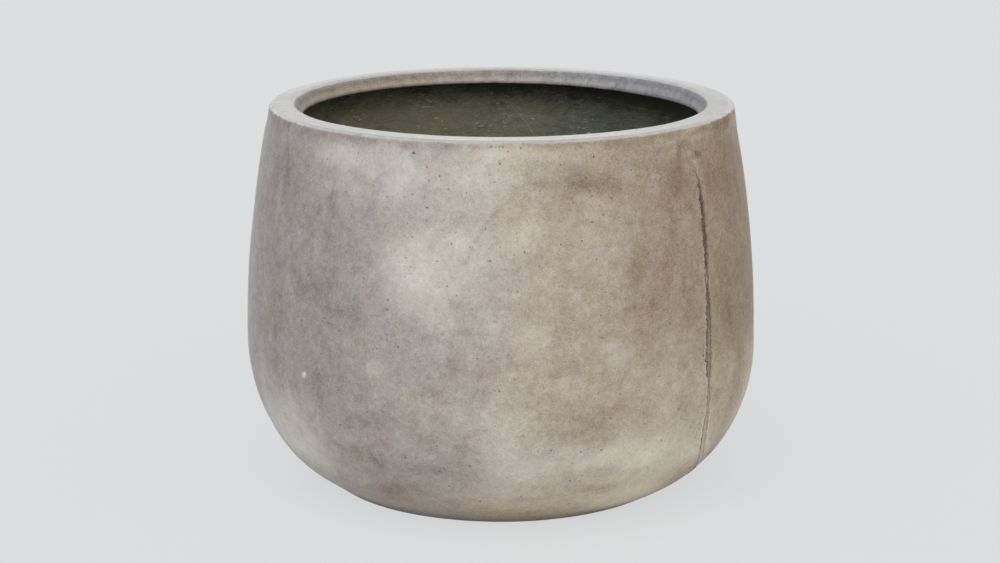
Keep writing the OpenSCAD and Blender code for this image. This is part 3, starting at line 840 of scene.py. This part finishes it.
def mortar(name, node, seam):
    """Mortar pointing of one seam, ragged between the two lips."""
    rows = round((SEAM_TOP - SEAM_FOOT) / MORTAR_STEP)

    def spots(column, row, columns, count):
        z = SEAM_FOOT + MORTAR_END + (SEAM_TOP - SEAM_FOOT - 2 * MORTAR_END) * row / count
        left, right = [np.maximum(lip * (1 - 1 / SPLIT), 0.1) for lip in seam.lips(z)]
        across = -left + (left + right) * column / columns
        r = wall_r(z)
        azimuth = seam.azimuth + seam_swing(r, z) + np.degrees(across / r)
        nz = (z - BELLY_H) / np.where(z > BELLY_H, UPPER_R, LOWER_R)
        return r, z, azimuth, nz, across + left, right - across

    def front_place(column, row):
        r, z, azimuth, nz, left, right = spots(column, row, MORTAR_COLUMNS, rows)
        points = around(r, z, azimuth)
        heights = seam.pointing[:, 0]
        middle, left_crack, right_crack, tone = (
            np.interp(z, heights, seam.pointing[:, k]) for k in (1, 2, 3, 4)
        )
        width = 1.5 + 0.5 * noise(points, 7, 53)
        cracked = left_crack * (1 - ease(left, 0.3, width)) + right_crack * (1 - ease(right, 0.3, width))
        lumps = 0.5 * noise(points, 4.5, 51) + 0.5 * noise(points, 1.8, 52)
        depth = np.clip(middle + cracked + lumps * (0.25 + 0.45 * middle), 0.1, SEAM_DEPTH - 0.3)
        fade = np.interp(z, *FADE) * left / (left + right)
        # The mortar is drawn darker where it lies deeper: painted shade.
        pale = tone - 0.12 * (depth - middle) + 0.35 * lumps + fade
        depth = depth - lean(azimuth, z)
        nr = np.sqrt(1 - nz**2)
        # Painted shade in the cracks.
        hollow_shade_and_smudge = np.clip(cracked / 1.4, 0, 1)
        stain_and_light = stain_and_light_values(pale, MORTAR_WARMTH, hollow_shade_and_smudge, np.interp(z, *SLURRY))
        return around(r - depth * nr, z - depth * nz, azimuth), stain_and_light

    def back_place(column, row):
        r, z, azimuth, nz, _, _ = spots(column, row, *MORTAR_BACK)
        nr = np.sqrt(1 - nz**2)
        depth = SEAM_DEPTH - BOND_T
        return around(r - depth * nr, z - depth * nz, azimuth)

    made = solid(name, Grid(MORTAR_COLUMNS, rows), Grid(*MORTAR_BACK), front_place, back_place)
    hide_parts(node)
    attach(made, "bowl")
    return made


def pin_fill(name, node, azimuth):
    """Mortar that closes a mould-pin hole: a rough round patch a little below the wall's face."""

    def spots(column, row, count):
        x = 2 * column / count - 1
        y = 2 * row / count - 1
        across = x * np.sqrt(1 - y * y / 2) * PATCH_R
        z = PIN_H + y * np.sqrt(1 - x * x / 2) * PATCH_R
        r = wall_r(z)
        return r, z, azimuth + np.degrees(across / r), np.hypot(across, z - PIN_H)

    def front_place(column, row):
        r, z, turned, far = spots(column, row, PATCH_CELLS)
        points = around(r, z, turned)
        lumps = 0.35 * noise(points, 2.8, 71) + 0.2 * noise(points, 1.2, 72)
        depth = PATCH_DEPTH + lumps - 0.4 * ease(far, 1.5, PIN_R)
        pale = 0.75 + 0.4 * lumps - 0.35 * ease(turned, azimuth - 0.3, azimuth + 0.3)
        return around(r - depth, z, turned), stain_and_light_values(pale, MORTAR_WARMTH)

    def back_place(column, row):
        r, z, turned, _ = spots(column, row, PATCH_BACK_CELLS)
        return around(r - PIN_DEPTH, z, turned)

    front = Grid(PATCH_CELLS, PATCH_CELLS)
    back = Grid(PATCH_BACK_CELLS, PATCH_BACK_CELLS)
    made = solid(name, front, back, front_place, back_place)
    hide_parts(node)
    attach(made, "bowl")
    return made


# ---------------------------------------------------------------- rim
RIM_STEP = 2.2
RIM_COLUMNS = 720
HAIRLINE_W = 1.2  # of the line between the rim's top and the shells
RIM_SWELL = 0.16  # half the height of the rim's slow swells, then of its lumps
RIM_LUMPS = 0.07
LIP_SWELL = 0.45  # the same for its sloping lip
DRAWN_IN = 1.8  # how far the mouth is drawn in at the front
SAG = 2.6  # how far the lip's foot sags at the back right
SAG_TURN = 125
SAG_SPREAD = 32
# How pale and how warm the rim is at some azimuths
RIM_TURNS = (-180, -140, -90, -40, 0, 40, 90, 140, 180)
RIM_TONES = (0.34, 0.26, 0.5, 0.55, 0.78, 0.6, 0.34, 0.36, 0.34)
RIM_WARMTHS = (0.55, 1.15, 0.7, 0.3, 0.3, 0.4, 0.1, 0.0, 0.55)


def rim_outline():
    """The rim's face, from the foot of its outer side under the lip and over the top to its edge."""
    slope = math.degrees(math.atan2(RIM_H - LAND_H, LIP_RUN))
    crown_run = MOUTH_ROUNDING / math.tan(math.radians((180 - slope) / 2))
    crown = (MOUTH_R + crown_run, BOWL_H - MOUTH_ROUNDING)
    foot = (THROAT_R + LIP_R, RIM_FOOT + LIP_R)
    seat_low = float(wall_r(RIM_FOOT, SEAT_INSET))
    under = arc(foot, LIP_R, 270, 180, 0.6)
    over = arc(crown, MOUTH_ROUNDING, 90 + slope, 90, 0.8)
    return Outline(
        line((seat_low, RIM_FOOT), under[0], 5),
        under,
        line(under[-1], (THROAT_R, RIM_FOOT + LAND_H), RIM_STEP),
        line((THROAT_R, RIM_FOOT + LAND_H), over[0], 1.3),
        over,
        line(over[-1], (SEAT_R - HAIRLINE_W, BOWL_H), RIM_STEP),
        line((SEAT_R - HAIRLINE_W, BOWL_H), (SEAT_R, BOWL_H), 0.4),
        side=-1,
    )


def rim_seat():
    """The rim's outer side, which lies against the shells."""
    low = RIM_FOOT + 1
    high = BOWL_H - 2
    return Outline(line((wall_r(low, SEAT_INSET), low), (wall_r(high, SEAT_INSET), high), 7))


def rim(name):
    """The cast rim, flat on top and painted paler there as lit from above, with a slightly wavy and
    chipped mouth.
    """
    outline = rim_outline()

    def front_place(column, row):
        r, z, nr, nz = outline.at(row)
        azimuth = column / RIM_COLUMNS * 360
        points = around(r, z, azimuth)
        # The flat top takes the paler top colour in the finish: painted light from above.
        on_top = ease(z, BOWL_H - 1, BOWL_H)
        depth = RIM_SWELL * (1 + layered(points, 70, 81, 2)) + RIM_LUMPS * (1 + noise(points, 9, 84))
        lip = ease(z, RIM_FOOT + 2, RIM_FOOT + LAND_H) * (1 - ease(z, BOWL_H - 7, BOWL_H - 3))
        depth = depth + lip * LIP_SWELL * (1 + layered(points, 26, 85))
        corner = 1 - ease(np.hypot(r - THROAT_R, z - RIM_FOOT - LAND_H), 0.5, 3.0)
        crumbs = ease(noise(points, 4, 87) + 0.5 * noise(points, 2.2, 88), 0.75, 1.1)
        mouth = 1 - ease(np.hypot(r - MOUTH_R, z - BOWL_H), 0.6, 3.2)
        nicks = ease(noise(points, 7, 89) + 0.4 * noise(points, 2.4, 90), 0.5, 0.9)
        hairline = ease(r, SEAT_R - HAIRLINE_W, SEAT_R)
        hairline = hairline * (1 - 0.9 * ease(np.abs(from_front(azimuth)), 25, 60))
        depth = depth + corner * (0.3 + crumbs) + mouth * nicks * 0.5
        depth = depth + (SEAT_SINK - depth) * ease(r, SEAT_R - 4, SEAT_R - HAIRLINE_W)
        depth = depth + hairline * (0.35 + 0.5 * np.maximum(noise(points, 4, 91), 0))
        tone, warmth = rim_tone(points, azimuth, r, z, on_top)
        # Painted shade in the crumbs at the land's corner, the nicks of the mouth and the hairline joint.
        hollow_shade_and_smudge = np.clip(corner * crumbs + 0.7 * mouth * nicks + 0.75 * hairline, 0, 1)
        drawn_in, sag = rim_lean(azimuth, r, z)
        placed = around(r - depth * nr - drawn_in, z - depth * nz - sag, azimuth)
        return placed, stain_and_light_values(tone, warmth, hollow_shade_and_smudge, on_top)

    made = ring(name, outline, rim_seat(), RIM_COLUMNS, front_place)
    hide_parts("rim_ring")
    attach(made, "bowl")
    return made


def rim_tone(points, azimuth, r, z, on_top):
    """How pale and how warm the rim is: darker under the lip, and on top towards the back darker by the
    mouth and paler further out, as painted shade and a painted reflection.
    """
    turn = from_front(azimuth)
    tone = np.interp(turn, RIM_TURNS, RIM_TONES)
    tone = tone + 0.16 * layered(points, 40, 92) + 0.1 * noise(points, 6, 95)
    warmth = np.interp(turn, RIM_TURNS, RIM_WARMTHS) + 0.2 * layered(points, 30, 96)
    land = 1 - ease(z + 1.5 * noise(points, 12, 99), RIM_FOOT + 3, RIM_FOOT + 12)
    tone = tone + (1 - on_top) * (0.5 * land - 0.25 + 0.12 * noise(points, 10, 98))
    tone = tone - 0.7 * (1 - ease(z, RIM_FOOT + 0.5, RIM_FOOT + 4.5))
    # At the back the top gets painted shade by the mouth and a painted reflection of the light further
    # out.
    far_top_shade_and_reflection = on_top * ease(np.abs(turn), 80, 130)
    tone = tone + far_top_shade_and_reflection * (0.65 * ease(r, MOUTH_R + 4, SEAT_R - 3) - 0.25)
    return tone, warmth


def rim_lean(azimuth, r, z):
    """How far the mouth is drawn in at the front, and how far its foot sags at the back right."""
    low = (1 - ease(z, RIM_FOOT + 1, RIM_FOOT + 9)) * (1 - ease(r, THROAT_R + 3, THROAT_R + 22))
    sag = SAG * np.exp(-(((azimuth - SAG_TURN) / SAG_SPREAD) ** 2)) * low
    near = ease(np.cos(np.radians(azimuth + 4)), 0.62, 0.82)
    near = near * ease(z, BOWL_H - 12, BOWL_H - 6) * (1 - ease(r, MOUTH_R + 3, MOUTH_R + 16))
    return DRAWN_IN * near, sag


# ---------------------------------------------------------------- lining
LINING_STEP = 7.0
LINING_COLUMNS = 260
LINING_SWELL = 0.5  # half the height of the lining's slow swells, then of its lumps
LINING_LUMPS = 0.25
# How pale the lining is drawn at some azimuths
LINING_TURNS = (0, 120, 150, 172, 185, 205, 235, 360)
LINING_TONES = (0.5, 0.26, 0.65, 0.76, 0.85, 0.98, 0.9, 0.5)
LINING_WARMTHS = (0.5, 0.0, 0.15, 0.45, 0.6, 0.8, 0.9, 0.5)


def lining(name):
    """Glass-fibre lining, hand laid, so its face is a little lumpy and its mats show faintly."""
    inset = SEAT_INSET + LINING_T
    outline = Outline(
        line((SLEEVE_R, HOLLOW_Z), (FLAT_R, HOLLOW_Z), LINING_STEP),
        *lower_line(inset, HOLLOW_Z, CORNER_R - LINING_T, LINING_STEP, 4),
        upper_line(inset, RIM_FOOT, LINING_STEP),
        side=-1,
    )
    outer = Outline(
        line((SLEEVE_R, LINING_Z), (FLAT_R, LINING_Z), 40),
        *lower_line(SEAT_INSET, LINING_Z, CORNER_R, 30, 12),
        upper_line(SEAT_INSET, RIM_FOOT, 30),
    )

    def front_place(column, row):
        r, z, nr, nz = outline.at(row)
        azimuth = column / LINING_COLUMNS * 360
        points = around(r, z, azimuth)
        clear = ease(r, SLEEVE_R + 8, SLEEVE_R + 30)
        swells = LINING_SWELL * (1 + layered(points, 60, 101))
        depth = clear * (swells + LINING_LUMPS * (1 + layered(points, 18, 104, 2)))
        # The lining is drawn darker towards the top: painted shade under the rim's lip.
        tone = np.interp(azimuth, LINING_TURNS, LINING_TONES) - 0.8 * ease(z, 385, 432)
        tone = tone + 0.22 * layered(points, 50, 106) + 0.1 * noise(points * (0.4, 0.4, 1.5), 12, 109)
        warmth = np.interp(azimuth, LINING_TURNS, LINING_WARMTHS) + 0.3 * layered(points, 45, 112)
        return around(r - depth * nr, z - depth * nz, azimuth), stain_and_light_values(tone, warmth)

    made = ring(name, outline, outer, LINING_COLUMNS, front_place)
    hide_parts("glass_lining")
    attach(made, "bowl")
    return made


# ---------------------------------------------------------------- shader maths
class Value:
    """A shader socket that can be added, subtracted and multiplied like a number."""

    def __init__(self, finish, socket):
        self.finish = finish
        self.socket = socket

    def __add__(self, other):
        return self.finish.maths("ADD", self, other)

    def __radd__(self, other):
        return self.finish.maths("ADD", other, self)

    def __sub__(self, other):
        return self.finish.maths("SUBTRACT", self, other)

    def __rsub__(self, other):
        return self.finish.maths("SUBTRACT", other, self)

    def __mul__(self, other):
        return self.finish.maths("MULTIPLY", self, other)

    def __rmul__(self, other):
        return self.finish.maths("MULTIPLY", other, self)

    def between(self, low, high):
        """0 where this is below low, 1 above high, and a smooth step between."""
        settings = {"interpolation_type": "SMOOTHSTEP"}
        sockets = {"Value": self, "From Min": low, "From Max": high}
        return self.finish.node("ShaderNodeMapRange", settings, sockets)


class Finish:
    """A material's nodes. Every node comes from node(), and expressions on values make Math nodes."""

    def __init__(self, name, tree=None):
        if tree is None:
            self.material = bpy.data.materials.new(name)
            self.material.use_nodes = True
            tree = self.material.node_tree
        self.tree = tree
        self.tree.nodes.clear()

    def node(self, kind, settings=None, sockets=None, output=0):
        """Makes a node, sets its settings, then fills its sockets with values or links."""
        made = self.tree.nodes.new(kind)
        for key, value in (settings or {}).items():
            setattr(made, key, value)
        for key, value in (sockets or {}).items():
            if isinstance(value, Value):
                self.tree.links.new(value.socket, made.inputs[key])
            else:
                made.inputs[key].default_value = value
        return Value(self, made.outputs[output]) if made.outputs else None

    def maths(self, operation, one, other):
        """A sum on two values or numbers."""
        return self.node("ShaderNodeMath", {"operation": operation}, {0: one, 1: other})

    def vector(self, operation, sockets, output=0):
        """A sum on vectors."""
        return self.node("ShaderNodeVectorMath", {"operation": operation}, sockets, output)

    def place(self, stretch=(1, 1, 1)):
        """Position on the object in millimetres, stretched along its axes."""
        coords = self.node("ShaderNodeTexCoord", output=3)
        scale = [1 / (MM * s) for s in stretch]
        return self.vector("MULTIPLY", {0: coords, 1: scale})

    def grain(self, size, detail=3.0, rough=0.55, stretch=(1, 1, 1), twist=0.0):
        """Noise from 0 to 1 with lumps about size millimetres across."""
        sockets = {
            "Vector": self.place(stretch),
            "Scale": 1 / size,
            "Detail": detail,
            "Roughness": rough,
            "Distortion": twist,
        }
        return self.node("ShaderNodeTexNoise", None, sockets)

    def arcs(self, centre, radius, width, run):
        """1 on thin arcs that curve round a centre, at about radius to its right."""
        away = self.vector("SUBTRACT", {0: self.place(), 1: centre})
        far = self.vector("LENGTH", {0: away}, output=1)
        rings = self.node("ShaderNodeCombineXYZ", None, {0: far * (1 / width)})
        along = self.vector("SCALE", {0: away, 3: 1 / run})
        where = self.vector("ADD", {0: along, 1: rings})
        sockets = {"Vector": where, "Scale": 1.0, "Detail": 3.0, "Roughness": 0.6, "Distortion": 0.6}
        streak = self.node("ShaderNodeTexNoise", None, sockets)
        right = self.node("ShaderNodeSeparateXYZ", None, {0: away}).between(0.4 * radius, 0.65 * radius)
        ring = far.between(0.85 * radius, 0.93 * radius) * (1 - far.between(1.02 * radius, 1.12 * radius))
        return (1 - streak.between(0.36, 0.48)) * ring * right

    def dots(self, spacing, small, big):
        """1 inside small round dots strewn about spacing apart, whose radii differ."""
        sockets = {"Vector": self.place(), "Scale": 1 / spacing}
        far = self.node("ShaderNodeTexVoronoi", None, sockets)
        pick = self.node("ShaderNodeTexVoronoi", None, sockets, output=1)
        pick = self.node("ShaderNodeSeparateColor", None, {0: pick})
        radius = small + pick * pick * (big - small)
        return 1 - self.maths("DIVIDE", far, radius).between(0.6, 1.1)

    def blend(self, factor, a, b, mode="MIX"):
        """Colour between a and b."""
        settings = {"data_type": "RGBA", "blend_type": mode, "clamp_factor": True}
        return self.node("ShaderNodeMix", settings, {0: factor, 6: a, 7: b}, output=2)

    def shade(self, tone, dark, pale):
        """Colour from dark at tone 0 to pale at tone 1, and dimmer than dark below 0."""
        below = self.maths("MINIMUM", tone, 0)
        dim = 1 + self.maths("MAXIMUM", below, -0.35) * 1.5
        return self.vector("SCALE", {0: self.blend(tone, dark, pale), 3: dim})

    def tinted(self, colour, size, soft, one, other):
        """The colour, drifting between two faint tints in patches about size across."""
        hue = self.grain(size, 4, 0.65).between(0.5 - soft, 0.5 + soft)
        return self.blend(1.0, colour, self.blend(hue, one, other), "MULTIPLY")

    def stain_and_light(self):
        """The mesh's marks and painted light: tone, warmth, painted shade in hollows, and painted top
        light.
        """
        settings = {"attribute_name": "stain_and_light"}
        colour = self.node("ShaderNodeAttribute", settings)
        parts = [self.node("ShaderNodeSeparateColor", None, {0: colour}, output=k) for k in range(3)]
        return [*parts, self.node("ShaderNodeAttribute", settings, output=3)]

    def bump(self, height, distance):
        """Face direction over a relief, distance millimetres deep."""
        return self.node("ShaderNodeBump", None, {"Height": height, "Distance": distance * MM})

    def surface(self, colour, rough, normal, shine, bloom=0.0):
        """Finishes the material with a Principled shader. bloom is the weight of its dusty sheen."""
        sockets = {
            "Base Color": colour,
            "Roughness": rough,
            "Normal": normal,
            "Specular IOR Level": shine,
            "Sheen Weight": bloom,
            "Sheen Roughness": BLOOM_ROUGH,
        }
        shader = self.node("ShaderNodeBsdfPrincipled", None, sockets)
        self.node("ShaderNodeOutputMaterial", None, {"Surface": shader})
        return self.material


def rgb(red, green, blue):
    """Colour socket value from linear light."""
    return (red, green, blue, 1.0)


# ---------------------------------------------------------------- finishes
# Dry cement's dusty bloom, which pales it where it is seen edge on
WALL_BLOOM = 0.25
RIM_BLOOM = 0.12
BLOOM_ROUGH = 0.3


def painted_top_colour(f, tone, warmth=0.0):
    """Colour of the cement's flat tops, painted paler as lit from above: pale and a little pink, and
    cream where warm.
    """
    dark = f.blend(warmth, rgb(0.415, 0.407, 0.409), rgb(0.435, 0.400, 0.330))
    pale = f.blend(warmth, rgb(0.735, 0.726, 0.728), rgb(0.760, 0.715, 0.610))
    return f.blend(tone, dark, pale)


def wall_concrete():
    """Hand-trowelled cement: clouded grey and beige, with fine speckle and dark pinholes."""
    f = Finish("wall_concrete")
    tone, warmth, hollow_shade_and_smudge, painted_top_light_or_slurry = f.stain_and_light()
    cloud = f.grain(24, 5, 0.6, twist=0.4)
    patch = f.grain(9, 5, 0.72)
    speckle = f.grain(1.25, 3, 0.7)
    sandy = 0.65 + warmth * 0.4
    grit = f.grain(3.2, 3)
    tone = tone + (cloud - 0.5) * 0.38 + (patch - 0.5) * 0.58
    tone = tone + (grit - 0.5) * 0.36 + (speckle - 0.5) * sandy
    flat = painted_top_colour(f, tone, warmth)
    warmth = warmth + (f.grain(33, 4) - 0.5) * 0.35 + (f.grain(7, 3) - 0.5) * 0.95
    dark = f.blend(warmth, rgb(0.218, 0.191, 0.196), rgb(0.264, 0.1945, 0.135))
    pale = f.blend(warmth, rgb(0.632, 0.599, 0.584), rgb(0.678, 0.623, 0.513))
    colour = f.shade(tone, dark, pale)
    colour = f.tinted(colour, 5, 0.18, rgb(0.955, 1.015, 0.96), rgb(1.0, 0.975, 0.985))
    # Pinholes, painted dark as the shade in small holes.
    pinholes = f.dots(11, 0.05, 0.13) + f.dots(6, 0.05, 0.16) * 0.7
    colour = f.blend(pinholes * 0.75, colour, rgb(0.10, 0.085, 0.07))
    # Where the top edge faces up it takes the paler colour, painted as lit from above.
    colour = f.blend(painted_top_light_or_slurry, colour, flat)
    # Painted shade in the hollows, with the damp smudge, darkens the colour.
    colour = f.blend(hollow_shade_and_smudge * 0.85, colour, rgb(0.075, 0.062, 0.048))
    relief = patch * 0.6 + speckle * 0.25 + grit * 0.45 - pinholes * 0.5
    rough = 0.86 + (patch - 0.5) * 0.16
    return f.surface(colour, rough, f.bump(relief, 0.5), 0.3, WALL_BLOOM)


def rim_concrete():
    """Cement of the rim: painted pale on top as lit from above, darker and mottled on the sloping lip."""
    f = Finish("rim_concrete")
    tone, warmth, hollow_shade_and_smudge, painted_top_light_or_slurry = f.stain_and_light()
    patch = f.grain(7, 4, 0.6)
    speckle = f.grain(1.6, 3, 0.65)
    tone = tone + (patch - 0.5) * 0.8 + (speckle - 0.5) * 1.4
    dark = f.blend(warmth, rgb(0.202, 0.197, 0.217), rgb(0.250, 0.205, 0.165))
    pale = f.blend(warmth, rgb(0.473, 0.465, 0.498), rgb(0.52, 0.455, 0.385))
    # The flat top takes its paler colour, painted as lit from above.
    colour = f.blend(painted_top_light_or_slurry, f.shade(tone, dark, pale), painted_top_colour(f, tone))
    colour = f.tinted(colour, 5, 0.18, rgb(0.965, 1.01, 0.975), rgb(1.0, 0.97, 0.99))
    # Dark dots of small pits: painted shade.
    colour = f.blend(f.dots(6, 0.05, 0.15) * 0.6, colour, rgb(0.12, 0.105, 0.10))
    # Painted shade in the hollows darkens the colour.
    colour = f.blend(hollow_shade_and_smudge * 0.8, colour, rgb(0.12, 0.105, 0.09))
    relief = patch * 0.4 + speckle * 0.3
    rough = 0.74 + (patch - 0.5) * 0.2
    return f.surface(colour, rough, f.bump(relief, 0.35), 0.35, RIM_BLOOM)


def seam_mortar():
    """Rough mortar, darker than the wall, and darkest in its cracks from painted shade."""
    f = Finish("seam_mortar")
    tone, _, hollow_shade_and_smudge, slurry = f.stain_and_light()
    crumb = f.grain(1.6, 3, 0.7)
    tone = tone + (crumb - 0.46) * 2.8 + (f.grain(9, 3) - 0.5) * 0.5
    rusty = f.grain(11, 3).between(0.45, 0.62)
    dark = f.blend(rusty, rgb(0.082, 0.070, 0.050), rgb(0.118, 0.066, 0.042))
    colour = f.blend(tone, dark, rgb(0.36, 0.305, 0.235))
    colour = f.blend(slurry * tone, colour, rgb(0.53, 0.47, 0.385))
    # Painted shade darkens the cracks.
    colour = f.blend(hollow_shade_and_smudge * 0.8, colour, rgb(0.05, 0.042, 0.032))
    return f.surface(colour, 0.93, f.bump(crumb, 1.2), 0.2)


BRUSH_CENTRE = (-60, 255, 300)  # the resin's brush marks curve round this place on the far wall


def lining_resin():
    """Dark resin over glass mat: satin, with brushed streaks and scattered pale flecks."""
    f = Finish("lining_resin")
    tone, warmth, _, _ = f.stain_and_light()
    streak = f.grain(3.0, 4, 0.65, stretch=(4, 4, 1), twist=1.5)
    mat = f.grain(2.0, 4, 0.7)
    swirl = f.grain(11, 5, 0.65, stretch=(2.5, 2.5, 1), twist=2.2)
    tone = tone + (streak - 0.5) * 1.3 + (swirl - 0.5) * 0.9 + (mat - 0.5) * 0.8
    warmth = warmth + (f.grain(14, 4, 0.6) - 0.5) * 1.4
    pale = f.blend(warmth, rgb(0.235, 0.260, 0.222), rgb(0.312, 0.284, 0.19))
    colour = f.blend(tone, rgb(0.040, 0.042, 0.032), pale)
    colour = f.tinted(colour, 6, 0.2, rgb(0.92, 1.03, 0.94), rgb(1.08, 0.96, 1.02))
    brushed = f.arcs(BRUSH_CENTRE, 120, 4.5, 50)
    colour = f.blend(brushed * tone.between(0.1, 0.6) * 0.45, colour, rgb(0.42, 0.40, 0.31))
    fleck = f.grain(1.6, 2, 0.6, stretch=(4, 4, 1)).between(0.60, 0.68)
    fleck = fleck * f.grain(24, 3).between(0.48, 0.6)
    colour = f.blend(fleck * tone.between(0.05, 0.55) * 0.8, colour, rgb(0.68, 0.66, 0.50))
    rough = 0.42 + (mat - 0.5) * 0.3
    return f.surface(colour, rough, f.bump(streak * 0.8 + mat * 0.3, 0.8), 0.5)


def sleeve_plastic():
    """Grey moulded plastic of the drain sleeve, scuffed and dusty with cement."""
    f = Finish("sleeve_plastic")
    scuff = f.grain(6, 4, 0.7)
    dust = f.grain(22, 3)
    colour = f.blend(scuff.between(0.35, 0.7), rgb(0.075, 0.08, 0.078), rgb(0.12, 0.125, 0.12))
    colour = f.blend(dust.between(0.5, 0.8) * 0.5, colour, rgb(0.26, 0.25, 0.23))
    rough = 0.45 + (dust - 0.5) * 0.4
    return f.surface(colour, rough, f.bump(scuff, 0.15), 0.5)


def plug_rubber():
    """Black moulded rubber with a dusty bloom."""
    f = Finish("plug_rubber")
    bloom = f.grain(9, 4, 0.6)
    fine = f.grain(1.2, 2)
    colour = f.blend(bloom.between(0.35, 0.75), rgb(0.018, 0.018, 0.018), rgb(0.05, 0.05, 0.048))
    rough = 0.62 + (bloom - 0.5) * 0.3
    return f.surface(colour, rough, f.bump(fine, 0.08), 0.4)


def dress(made, material):
    """Gives a piece its only material."""
    made.data.materials.clear()
    made.data.materials.append(material)


# ---------------------------------------------------------------- floor, light and camera
BACKDROP = (0.716, 0.730, 0.738)  # linear light of the photograph's plain background
FLOOR_SHOWS = 0.14  # share of the floor's own shading that the camera sees
FLOOR_LIT = 0.985  # light that falls on the bare floor
FLOOR_WHITE = rgb(0.86, 0.86, 0.85)  # the floor's colour for the light that it throws back
AMBIENT = 0.55  # strength of the even light
CAMERA_AT = (-0.7, -2916.7, 927.3)
CAMERA_DIP = 13.38  # degrees below level
CAMERA_LENS = 91.15


def seen_directly(f):
    """1 for rays that see the backdrop: camera, mirror and glass rays."""
    rays = [f.node("ShaderNodeLightPath", output=k) for k in (0, 3, 6)]
    return f.maths("MAXIMUM", f.maths("MAXIMUM", rays[0], rays[1]), rays[2])


def floor():
    """A wide floor that looks like the plain background, apart from the object's faint shadow."""
    mesh = bpy.data.meshes.new("floor")
    reach = 30.0
    corners = [(-reach, -reach, 0), (reach, -reach, 0), (reach, reach, 0), (-reach, reach, 0)]
    mesh.from_pydata(corners, [], [(0, 1, 2, 3)])
    made = bpy.data.objects.new("floor", mesh)
    bpy.context.scene.collection.objects.link(made)
    f = Finish("floor")
    seen = seen_directly(f)
    paint = f.blend(seen, FLOOR_WHITE, rgb(*[value / FLOOR_LIT for value in BACKDROP]))
    plain = f.node("ShaderNodeBsdfDiffuse", None, {"Color": paint})
    glow = f.node("ShaderNodeEmission", None, {"Color": rgb(*BACKDROP), "Strength": 1.0})
    clear_of_base = f.vector("LENGTH", {0: f.place()}, output=1).between(0.85 * RECESS_R, RECESS_R)
    share = seen * (1 - FLOOR_SHOWS) * clear_of_base
    mixed = f.node("ShaderNodeMixShader", None, {0: share, 1: plain, 2: glow})
    f.node("ShaderNodeOutputMaterial", None, {"Surface": mixed})
    dress(made, f.material)


def light():
    """The plain backdrop's even light, and two wide lamps."""
    world = bpy.data.worlds.new("studio")
    bpy.context.scene.world = world
    world.use_nodes = True
    f = Finish("studio", world.node_tree)
    soft = f.node("ShaderNodeBackground", None, {"Color": rgb(1.0, 0.995, 0.985), "Strength": AMBIENT})
    backdrop = f.node("ShaderNodeBackground", None, {"Color": rgb(*BACKDROP), "Strength": 1.0})
    mixed = f.node("ShaderNodeMixShader", None, {0: seen_directly(f), 1: soft, 2: backdrop})
    f.node("ShaderNodeOutputWorld", None, {"Surface": mixed})
    lamp("key", 1.65, 70, (40, 0, -14))
    lamp("fill", 0.35, 90, (68, 0, 24))


def lamp(name, strength, spread, turn):
    """A far, wide lamp. turn is its tilt and swing in degrees."""
    data = bpy.data.lights.new(name, "SUN")
    data.energy = strength
    data.angle = math.radians(spread)
    made = bpy.data.objects.new(name, data)
    made.rotation_euler = [math.radians(a) for a in turn]
    bpy.context.scene.collection.objects.link(made)


def camera():
    """The view of the photograph."""
    data = bpy.data.cameras.new("camera")
    data.sensor_width = 36.0
    data.lens = CAMERA_LENS
    data.clip_end = 100.0
    made = bpy.data.objects.new("camera", data)
    made.location = [value * MM for value in CAMERA_AT]
    made.rotation_euler = (math.radians(90 - CAMERA_DIP), 0, 0)
    bpy.context.scene.collection.objects.link(made)
    bpy.context.scene.camera = made


# ---------------------------------------------------------------- the planter
def build():
    """Makes the detailed pieces and dresses them and the CAD's drain."""
    wall = wall_concrete()
    dress(half_shell("front_shell_cast", "front_shell", BACK_SEAM, FRONT_SEAM), wall)
    dress(half_shell("back_shell_cast", "back_shell", FRONT_SEAM, BACK_SEAM), wall)
    dress(rim("rim_cast"), rim_concrete())
    dress(lining("lining_laid"), lining_resin())
    pointing = seam_mortar()
    dress(mortar("front_pointing", "front_seam_mortar", FRONT_SEAM), pointing)
    dress(mortar("back_pointing", "back_seam_mortar", BACK_SEAM), pointing)
    dress(pin_fill("front_pin_patch", "front_pin_fill", FRONT_SEAM.azimuth), pointing)
    dress(pin_fill("back_pin_patch", "back_pin_fill", BACK_SEAM.azimuth), pointing)
    dress(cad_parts["drain_sleeve"], sleeve_plastic())
    dress(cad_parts["drain_plug"], plug_rubber())


build()
floor()
light()
camera()
bpy.context.scene.view_settings.view_transform = "Standard"
